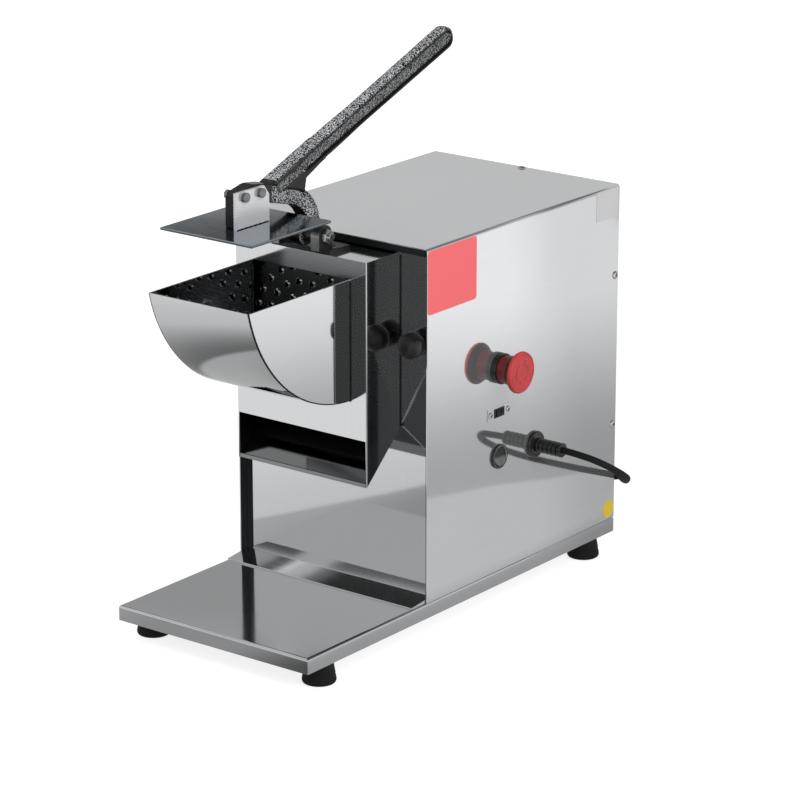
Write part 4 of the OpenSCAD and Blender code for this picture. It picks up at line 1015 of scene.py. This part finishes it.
def selector_thumb():
    """The slider with three finger ridges."""
    low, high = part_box("selector_slider")
    bm = bmesh.new()
    teeth, valley = 3, high.x - 0.7 * MM
    step = (high.y - low.y) / teeth
    profile = [(low.x, low.y), (valley, low.y)]
    for i in range(teeth):
        profile += [(x, low.y + step * (i + share))
                    for x, share in ((valley, 0.15), (high.x, 0.35), (high.x, 0.65), (valley, 0.85))]
    profile += [(valley, high.y), (low.x, high.y)]
    ends = [[bm.verts.new((x, y, z)) for x, y in profile] for z in (low.z, high.z)]
    return smooth_mesh("selector_thumb", stitch(bm, ends, capped=True))


class GRATER_OT_switches(bpy.types.Operator):
    """Builds the stop button, the voltage selector and the rocker switch"""

    bl_idname = "grater.switches"
    bl_label = "Switches"

    def execute(self, context):
        stop, rocker = spot(SIDE, SWITCH_Y, STOP_Z), spot(SIDE, SWITCH_Y, ROCKER_Z)
        collar = soften([(13.9, 0), (14.8, 0), (14.8, 1.5), (14.2, 1.8), (14.2, 2.3), (14.8, 2.6),
                         (14.8, 5.2), (14.5, 6), (13.9, 6)], 0.3, 2)
        sole = [(5.05, 0), (14.5, 0), (14.5, 1), (5.05, 1)]
        barrel = [(5.05, -16), (11, -16), (11, 0.5), (5.05, 0.5)]
        skirt = soften([(0, -32), (5, -32), (5, 5.6), (13.2, 5.6), (13.5, 6.2), (13.5, 11.5), (13.9, 13.5),
                        (14.9, 16.6), (14.6, 17.2), (5, 17.2), (5, 23.2), (0, 23.2)], 0.4, 2)
        cap = [(0, 23.5), (5.05, 23.5), (5.05, 17.5)] + soften([
            (5.05, 17.5), (14.9, 17.5), (16.2, 18.6), (18, 20.8), (19.6, 22.6), (20, 23.6), (20, 24.8),
            (19.5, 26.2), (18.6, 26.9), (17.6, 27), (17.1, 26.6), (16.5, 26.6), (16, 27), (8, 27.4),
            (0, 27.5)], 0.6)[1:]
        arrows = [arc_arrow(math.tau * k / 3, stop) for k in range(3)]
        add_turned("stop_ring", stop, RIGHT, [(collar, 80, True), (sole, 48, True), (barrel, 48, True)],
                   "gloss_black", "frame", ["stop_collar"])
        add_turned("stop_skirt", stop, RIGHT, [(skirt, 80, False)], "neck_red", "stop_stem",
                   ["stop_plunger"])
        add_turned("stop_mushroom", stop, RIGHT, [(cap, 96, False)], "stop_red", "stop_head", ["stop_cap"],
                   arrows)
        add_piece("selector_face", thin_plate("selector_plate", 0.3 * MM), "cover_steel", "frame",
                  ["selector_plate"])
        add_piece("selector_frame", selector_frame(), "black_plastic", "frame", ())
        add_piece("selector_thumb", selector_thumb(), "black_plastic", "selector", ["selector_slider"])
        bezel = soften([(10.4, -9), (11, -9.4), (11, 0), (12, 0), (12, 1.6), (11.6, 2.4), (10.9, 2.5),
                        (10.4, 1.9)], 0.3, 2)
        cup = soften([(0, -20), (11, -20), (11, -9), (0, -9)], 0.4)
        # A thin grey ring inside the bezel, a painted highlight standing in for the light on the bezel's
        # inner edge
        pale_ring = soften([(10.0, 0.6), (10.5, 0.6), (10.5, 1.9), (10.25, 2.2), (10.0, 1.9)], 0.15, 2)
        add_turned("rocker_ring", rocker, RIGHT, [(bezel, 72, True), (cup, 48, False)], "gloss_black",
                   "frame", ["rocker_body"])
        add_turned("rocker_seal", rocker, RIGHT, [(pale_ring, 72, True)], "grey_plastic", "frame", ())
        add_piece("rocker_paddle", crisp_copy("rocker_button", 0.5 * MM, 3), "rocker_black", "rocker",
                  ["rocker_button"])
        return {"FINISHED"}


class GRATER_OT_gland(bpy.types.Operator):
    """Turns the cord gland with its ribbed bend relief"""

    bl_idname = "grater.gland"
    bl_label = "Cord gland"

    def execute(self, context):
        profile = [(3.3, -14), (8, -14), (8, 0), (12.6, 0), (13, 0.5), (13, 2.6), (12.3, 3.5), (9, 3.5),
                   (7.2, 4)]
        ribs, first, step = 6, 3.5, 5
        for i in range(ribs):
            x = first + step * i
            profile += [(5.1, x + 0.3), (5.1, x + 1.7), (7, x + 2.1), (7, x + 4.6)]
        profile += [(6.9, 33.2), (6.4, 33.5), (3.3, 33.5)]
        add_turned("gland_boot", spot(SIDE, GLAND_Y, GLAND_Z), RIGHT, [(soften(profile, 0.3, 2), 64, True)],
                   "gloss_black", "frame", ["cord_gland"])
        return {"FINISHED"}


class GRATER_OT_feet(bpy.types.Operator):
    """Turns the four rubber feet"""

    bl_idname = "grater.feet"
    bl_label = "Feet"

    def execute(self, context):
        profile = soften([(2.6, 8), (6, 8), (6, 0), (13, 0), (15.2, 0.9), (16, 3), (15.3, 7), (14.7, 8),
                          (14.7, 9), (14.9, 9.6), (13.6, 17), (13, 20), (2.6, 20)], 0.8)
        for corner in ("front_left", "front_right", "rear_left", "rear_right"):
            low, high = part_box("foot_" + corner)
            place = Vector(((low.x + high.x) / 2, (low.y + high.y) / 2, 0))
            add_turned("pad_" + corner, place, UP, [(profile, 64, True)], "foot_rubber", "frame",
                       ["foot_" + corner])
        return {"FINISHED"}


def scatter_tree():
    """Geometry nodes: one shape on every point, turned to the point's own direction."""
    tree = bpy.data.node_groups.new("set_on_points", "GeometryNodeTree")
    for name, kind in (("Geometry", "NodeSocketGeometry"), ("Shape", "NodeSocketObject"),
                       ("Size", "NodeSocketFloat"), ("Material", "NodeSocketMaterial")):
        tree.interface.new_socket(name, in_out="INPUT", socket_type=kind)
    tree.interface.new_socket("Geometry", in_out="OUTPUT", socket_type="NodeSocketGeometry")
    made = {}
    for key, kind in (
            ("in", "NodeGroupInput"), ("out", "NodeGroupOutput"), ("points", "GeometryNodeMeshToPoints"),
            ("shape", "GeometryNodeObjectInfo"), ("facing", "GeometryNodeInputNamedAttribute"),
            ("turn", "FunctionNodeAlignRotationToVector"), ("set", "GeometryNodeInstanceOnPoints"),
            ("real", "GeometryNodeRealizeInstances"), ("paint", "GeometryNodeSetMaterial")):
        made[key] = tree.nodes.new(kind)
    made["facing"].data_type = "FLOAT_VECTOR"
    made["facing"].inputs["Name"].default_value = "facing"
    made["turn"].axis = "Z"
    for source, out, target, into in (
            ("in", "Geometry", "points", "Mesh"), ("in", "Shape", "shape", "Object"),
            ("points", "Points", "set", "Points"), ("shape", "Geometry", "set", "Instance"),
            ("facing", "Attribute", "turn", "Vector"), ("turn", "Rotation", "set", "Rotation"),
            ("in", "Size", "set", "Scale"), ("set", "Instances", "real", "Geometry"),
            ("real", "Geometry", "paint", "Geometry"), ("in", "Material", "paint", "Material"),
            ("paint", "Geometry", "out", "Geometry")):
        tree.links.new(made[source].outputs[out], made[target].inputs[into])
    return tree


def add_scattered(name, shape, places, look, body, replaced, size=1.0):
    """A piece of one shape, drawn upright about the origin, repeated at (place, direction) pairs."""
    tree = bpy.data.node_groups.get("set_on_points") or scatter_tree()
    stamp = add_object(name + "_shape", shape)
    points = bpy.data.meshes.new(name + "_points")
    points.from_pydata([tuple(p) for p, _ in places], [], [])
    facing = points.attributes.new("facing", "FLOAT_VECTOR", "POINT")
    for value, (_, direction) in zip(facing.data, places):
        value.vector = direction
    made = add_object(name, points)
    nodes = made.modifiers.new("set", "NODES")
    nodes.node_group = tree
    sockets = {item.name: item.identifier for item in tree.interface.items_tree if item.in_out == "INPUT"}
    for key, value in (("Shape", stamp), ("Size", size), ("Material", finish(look))):
        nodes[sockets[key]] = value
    mesh = evaluated_mesh(made, name)
    bpy.data.objects.remove(stamp)
    mesh.shade_smooth()
    mesh.set_sharp_from_angle(angle=math.radians(34))
    add_piece(name, mesh, look, body, replaced)


def dome_head(r, height, sink):
    """A dome screw's head with a six-sided socket, upright at the origin."""
    bm = bmesh.new()
    around, steps, sector = 24, 5, math.pi / 3

    def ring(radius, h, hexed=False):
        verts = []
        for k in range(around):
            t = math.tau * k / around
            size = radius * math.cos(sector / 2) / math.cos(t % sector - sector / 2) if hexed else radius
            verts.append(bm.verts.new(Vector((size * math.cos(t), size * math.sin(t), h)) * MM))
        return verts

    rings = [ring(r, -0.2)]
    for i in range(steps + 1):
        t = 0.85 * math.pi / 2 * i / steps
        rings.append(ring(r * math.cos(t) ** 0.6, height * math.sin(t)))
    rings += [ring(0.42 * r, height * 0.98, True), ring(0.42 * r, height - sink, True)]
    return smooth_mesh("dome_head", stitch(bm, rings, capped=True))


def bead():
    """One bead of a weld, upright at the origin."""
    bm = turned([(0, -0.6), (1.2, -0.6), (1.15, 0.1), (0.8, 0.6), (0, 0.8)], Vector(), UP, 8)
    return smooth_mesh("bead", bm)


def bead_row(start, end, direction, step=1.7):
    """Places of beads along a seam, a little uneven."""
    direction = Vector(direction).normalized()
    count = int((end - start).length / (step * MM))
    way = (end - start) / count
    side = way.normalized().cross(direction)
    return [(start + way * (i + 0.5 + 0.2 * math.sin(2.3 * i)) + side * (0.35 * MM * math.sin(1.7 * i)),
             direction) for i in range(count)]


class GRATER_OT_seams(bpy.types.Operator):
    """Runs the weld beads along the hopper, the flange and the presser bracket"""

    bl_idname = "grater.seams"
    bl_label = "Weld seams"

    def execute(self, context):
        wall = back_to_mm(HEAD_HIGH).x
        low = PIVOT[1] - math.sqrt(HOPPER_R ** 2 - (HEAD_FRONT - PIVOT[0]) ** 2)
        flange = back_to_mm(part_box("head_flange")[0]).y
        fixed = []
        for s in (-1, 1):
            for x, y, z_low, z_high in ((HOPPER_HALF, HEAD_FRONT, low, RIM - 2),
                                        (wall, flange, HEAD_LOW.z / MM + 48, HEAD_HIGH.z / MM - 4)):
                fixed += bead_row(spot(s * x, y, z_low), spot(s * x, y, z_high), (s, -1, 0))
        add_scattered("head_welds", bead(), fixed, "seam_black", "frame", (), 1.5)
        near, far = (back_to_mm(corner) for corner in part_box("presser_bracket"))
        foot = bead_row(spot(far.x, near.y + 1, near.z), spot(far.x, far.y - 1, near.z), (1, 0, 1))
        add_scattered("bracket_welds", bead(), foot, "seam_black", "lever", ())
        return {"FINISHED"}


class GRATER_OT_screws(bpy.types.Operator):
    """Sets the dome screws on the cover, the rivets on the selector and the screws of the hinge"""

    bl_idname = "grater.screws"
    bl_label = "Screws"

    def execute(self, context):
        screw_y = DEPTH - 5.5
        places = [(spot(s * SIDE, screw_y, BASE_TOP + up), s * RIGHT) for s in (-1, 1) for up in (98, 250)]
        places.append((spot(0, screw_y, TOP), UP))
        add_scattered("dome_screws", dome_head(4, 1.6, 1.2), places, "bright_bolt", "frame",
                      ["cover_screws"])
        rivets = [(spot(SIDE + 0.3, SWITCH_Y + off, SELECTOR_Z), RIGHT) for off in (-14, 14)]
        add_scattered("selector_rivets", dome_head(3, 1.2, 0.7), rivets, "bright_bolt", "frame",
                      ["selector_screws"])
        low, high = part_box("hinge_bracket")
        edge, back, foot = 6 * MM, 22 * MM, 4 * MM
        feet = [(Vector((x, low.y + back, HEAD_HIGH.z + foot)), UP) for x in (low.x + edge, high.x - edge)]
        add_scattered("hinge_screws", dome_head(4, 2.2, 1.4), feet, "dark_bolt", "frame", ())
        return {"FINISHED"}


def burr():
    """The jagged rim of a punched hole, upright at the origin."""
    bm = bmesh.new()
    around = 12
    turns = [math.tau * k / around for k in range(around)]
    rings = []
    for r, rise, jag in ((4.1, 0, 0), (3.4, 0.7, 0.25), (2.9, 1.2, 0.55), (2.6, 0.9, 0.3), (2.7, 0, 0)):
        rings.append([bm.verts.new(Vector((r * math.cos(t), r * math.sin(t), rise + jag * (k % 3 - 1))) * MM)
                      for k, t in enumerate(turns)])
    return smooth_mesh("burr", stitch(bm, rings))


class GRATER_OT_disc(bpy.types.Operator):
    """Raises the burr round every hole of the grating disc"""

    bl_idname = "grater.disc"
    bl_label = "Grating disc"

    def execute(self, context):
        low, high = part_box("grating_disc")
        middle = (low + high) / 2
        r = (high.x - low.x) / 2
        places = []
        for inward, count in ((42, 12), (28, 18), (14, 24)):
            for i in range(count):
                t, ring = math.tau * i / count, r - inward * MM
                place = Vector((middle.x + ring * math.cos(t), low.y, middle.z + ring * math.sin(t)))
                places.append((place, FORWARD))
        add_scattered("disc_burrs", burr(), places, "bright_bolt", "disc_rotor", ())
        add_piece("disc_sheet", crisp_copy("grating_disc", 0.2 * MM, 1), "disc_steel", "disc_rotor",
                  ["grating_disc"])
        return {"FINISHED"}


def label_mesh(name, low, high, corner, thickness):
    """A thin label on the right side, with round corners; low and high are (y, z)."""
    bm = bmesh.new()
    steps = 8
    outline = []
    for y, z, start in ((high[0] - corner, high[1] - corner, 0), (low[0] + corner, high[1] - corner, 90),
                        (low[0] + corner, low[1] + corner, 180), (high[0] - corner, low[1] + corner, 270)):
        turns = [math.radians(start + 90 * i / steps) for i in range(steps + 1)]
        outline += [(y + corner * math.cos(t), z + corner * math.sin(t)) for t in turns]
    sheets = [[bm.verts.new(spot(SIDE + x, y, z)) for y, z in outline] for x in (0.01, thickness / MM)]
    return smooth_mesh(name, stitch(bm, sheets, capped=True))


class GRATER_OT_labels(bpy.types.Operator):
    """Sticks the blank labels on the right side"""

    bl_idname = "grater.labels"
    bl_label = "Labels"

    def execute(self, context):
        thick = context.scene.grater_sizes.label
        for name, low, high, corner in (
                ("red_label", (0.8, 313), (75, 373), 3.5), ("white_label", (269, 344), (306.5, 373), 1.0),
                ("yellow_label", (289, 37), (307, 55), 8.9)):
            add_piece(name, label_mesh(name, low, high, corner, thick), name, "frame")
        return {"FINISHED"}


INNER_LOOKS = {
    "bright_bolt": ("clamp_studs", "disc_hub", "disc_nut", "motor_bearings", "motor_bolts", "capacitor_clip",
                    "rocker_pin"),
    "dark_bolt": ("foot_screws",),
    "cast_alloy": ("motor_front_bell", "motor_rear_bell"),
    "motor_paint": ("motor_casing", "fan_cowl", "motor_pedestal"),
    "core": ("motor_stator", "motor_rotor"),
    "white_plastic": ("motor_fan", "capacitor", "terminal_block"),
    "black_plastic": ("stop_lock_nut", "selector_body", "gland_nut"),
    "green_plastic": ("stop_contact_block",),
    "foot_rubber": ("shaft_seal",),
}


class GRATER_OT_inside(bpy.types.Operator):
    """Gives the motor and the other inner solids their finishes"""

    bl_idname = "grater.inside"
    bl_label = "Inner parts"

    def execute(self, context):
        for look, nodes in INNER_LOOKS.items():
            for node in nodes:
                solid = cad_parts[node]
                solid.data.materials.clear()
                solid.data.materials.append(finish(look))
        return {"FINISHED"}


LIGHT_PATH = "ShaderNodeLightPath"


def floor_tone(f):
    """What polished surfaces see of the floor, by millimetres to the right and to the back: painted
    reflections, darker close to the machine as painted shadow.
    """
    x, y = (f.along("X") - MID_X) * 1000, (f.along("Y") - FRONT_Y) * 1000
    out = x + y * 0.47 - 505
    right = 0.64 + out.ramp(-5, 5) * (out.ramp(40, 750, 0.46, 1.14) - 0.64)
    # Painted shadow: darker close to the base's right side
    right = right * (1 - 0.2 * (y - x * 1.303 + 147).ramp(180, 300)) * x.ramp(150, 190, 0.68, 1.0)
    # On the left, a painted reflection of a table's edge: beyond it the tone goes by how far the line of
    # sight drops
    out = x + y * 0.379 + 283
    slant = f.node("ShaderNodeLayerWeight", {}, {"Blend": 0.5}, out="Facing")
    drop = slant * slant * 416 + 40 - out
    # Painted shadow: darker close to the base's left side
    close = x.ramp(-110, -215, 0.37, 0.52)
    left = close + out.ramp(6, -6) * (drop.ramp(60, 250, 0.2, 0.77) + drop.ramp(240, 460, 0.0, 0.12) - close)
    tone = left + x.ramp(40, 140) * (right - left)
    # A painted dark band in front, which the panel and the platform mirror
    band = abs(x * 0.79 + y * 0.61 - 79)
    return tone * (1 - 0.88 * (band.ramp(240, 150) * y.ramp(-120, -260)))


def add_floor():
    """A floor that is white to the camera, matt to the lamps, and to polished surfaces a glow of painted
    reflections.
    """
    size, gap = 14.0, 0.4 * MM
    corners = [(-size, -size, 0), (size, -size, 0), (size, size, 0), (-size, size, 0)]
    mesh = bpy.data.meshes.new("floor")
    mesh.from_pydata(corners, [], [(0, 1, 2, 3)])
    floor = add_object("floor", mesh)
    floor.location.z = -gap
    f = Finish("pale_floor")
    seen = f.node(LIGHT_PATH, out="Is Camera Ray")
    mirrored = f.node(LIGHT_PATH, out="Is Glossy Ray") + f.node(LIGHT_PATH, out="Is Transmission Ray")
    far = f.vector("LENGTH", f.place(), (0, 0, 0), "Value")
    matt = f.node("ShaderNodeBsdfDiffuse", {}, {"Color": (0.3, 0.3, 0.3, 1)})
    both = f.node("ShaderNodeAddShader", {}, {0: f.light(seen * far.ramp(0.5, 1.6, 0.82, 1.0)), 1: matt})
    shown = f.node("ShaderNodeMixShader", {}, {0: mirrored, 1: both, 2: f.light(floor_tone(f))})
    f.node("ShaderNodeOutputMaterial", {}, {"Surface": shown})
    mesh.materials.append(f.material)


def add_room(scene):
    """The room's light: white to the camera, a dimmer sky to polished surfaces, low to the rest."""
    world = bpy.data.worlds.new("studio")
    scene.world = world
    world.use_nodes = True
    f = Finish("studio", world.node_tree)
    seen, mirrored = f.node(LIGHT_PATH, out="Is Camera Ray"), f.node(LIGHT_PATH, out="Is Glossy Ray")
    way = f.node("ShaderNodeTexCoord", out="Generated")
    across, height = (f.node("ShaderNodeSeparateXYZ", {}, {0: way}, out=axis) for axis in (0, 2))
    sky = 0.68 - height.ramp(0.32, 0.75, 0.0, 0.6) * across.ramp(-0.45, -0.15, 0.1, 1.0)
    room = seen + mirrored * sky + (1 - seen - mirrored) * 0.36
    f.node("ShaderNodeOutputWorld", {}, {"Surface": f.light(room, "ShaderNodeBackground")})


def lit_card(name, faces, tone):
    """A glowing card round the stage that only polished surfaces show; tone makes its glow."""
    mesh = bpy.data.meshes.new(name)
    mesh.from_pydata([v for face in faces for v in face], [],
                     [tuple(range(4 * i, 4 * i + 4)) for i in range(len(faces))])
    made = add_object(name, mesh)
    for kind in ("camera", "diffuse", "shadow", "transmission"):
        setattr(made, "visible_" + kind, False)
    f = Finish(name)
    f.node("ShaderNodeOutputMaterial", {}, {"Surface": f.light(tone(f))})
    mesh.materials.append(f.material)


def sweep_tone(f):
    """A backdrop that pales upwards, darkens above the lever's tip and pales again near its top."""
    z = f.along("Z")
    return z.ramp(0.28, 0.44, 0.38, 0.6) - z.ramp(0.562, 0.582, 0.0, 0.5) + z.ramp(0.7, 1.1, 0.0, 0.4)


def panes_tone(f):
    """Slanting bars of a window, which the front panel's foot mirrors as stripes."""
    z = f.along("Z") * 1000
    slip = (f.along("X") - MID_X) * 1000 + z * 1.57
    upper = (0.55 - slip.ramp(101, 104, 0.0, 0.46) + slip.ramp(128, 130, 0.0, 1.41)
             - slip.ramp(138, 142, 0.0, 0.7) - slip.ramp(171, 175, 0.0, 0.57)
             - slip.ramp(194, 199, 0.0, 0.19))
    lower = 0.12 + slip.ramp(-184, -180, 0.0, 0.53) - slip.ramp(-140, -126, 0.0, 0.49)
    return lower + z.ramp(250, 300) * (upper - lower)


class GRATER_OT_stage(bpy.types.Operator):
    """Sets the pale floor, the room's light, the cards and the lamps"""

    bl_idname = "grater.stage"
    bl_label = "Stage"

    def execute(self, context):
        context.scene.view_settings.view_transform = "Standard"
        add_floor()
        add_room(context.scene)
        behind, distance, half_width, height = Vector((-0.608, 0.794)), 600, 1.6, 1.1
        foot = spot(behind.x * distance, behind.y * distance, 0)
        side, up = Vector((behind.y, -behind.x, 0)) * half_width, UP * height
        lit_card("sweep", [(foot - side, foot + side, foot + side + up, foot - side + up)], sweep_tone)
        front = -480
        panes = [[spot(x, front, z) for x, z in ((x0, z0), (x1, z0), (x1, z1), (x0, z1))]
                 for x0, x1, z0, z1 in ((-700, -250, 385, 460), (-560, -200, 135, 158.5))]
        lit_card("panes", panes, panes_tone)
        for name, place, target, width, power in (
                ("key_lamp", (-0.9, -1.5, 1.9), (0, 0, 0.2), 2.0, 40),
                ("side_lamp", (1.9, -0.4, 1.5), (0.1, 0.1, 0.2), 1.8, 46)):
            lamp = bpy.data.lights.new(name, "AREA")
            lamp.size = width
            lamp.energy = power
            made = add_object(name, lamp)
            made.location = place
            made.rotation_mode = "QUATERNION"
            made.rotation_quaternion = (Vector(target) - Vector(place)).to_track_quat("-Z", "Y")
            made.visible_glossy = False
        return {"FINISHED"}


OPERATORS = (
    GRATER_OT_camera, GRATER_OT_cord, GRATER_OT_sheets, GRATER_OT_lever, GRATER_OT_knobs, GRATER_OT_switches,
    GRATER_OT_gland, GRATER_OT_feet, GRATER_OT_seams, GRATER_OT_screws, GRATER_OT_disc, GRATER_OT_labels,
    GRATER_OT_inside, GRATER_OT_stage,
)


class VIEW3D_PT_grater(bpy.types.Panel):
    """Lists the steps that dress the grater"""

    bl_idname = "VIEW3D_PT_grater"
    bl_label = "Cheese grater"
    bl_space_type = "VIEW_3D"
    bl_region_type = "UI"
    bl_category = "Grater"

    def draw(self, context):
        layout = self.layout
        for group in (context.scene.grater_sizes, context.scene.grater_colours):
            for name in group.__annotations__:
                layout.prop(group, name)
        for operator in OPERATORS:
            layout.operator(operator.bl_idname)


CLASSES = (GraterSizes, GraterColours, *OPERATORS, VIEW3D_PT_grater)


def register():
    for cls in CLASSES:
        bpy.utils.register_class(cls)
    bpy.types.Scene.grater_sizes = bpy.props.PointerProperty(type=GraterSizes)
    bpy.types.Scene.grater_colours = bpy.props.PointerProperty(type=GraterColours)


def unregister():
    del bpy.types.Scene.grater_colours
    del bpy.types.Scene.grater_sizes
    for cls in reversed(CLASSES):
        bpy.utils.unregister_class(cls)


def main():
    register()
    for operator in OPERATORS:
        group, name = operator.bl_idname.split(".")
        getattr(getattr(bpy.ops, group), name)()


if __name__ == "__main__":
    main()
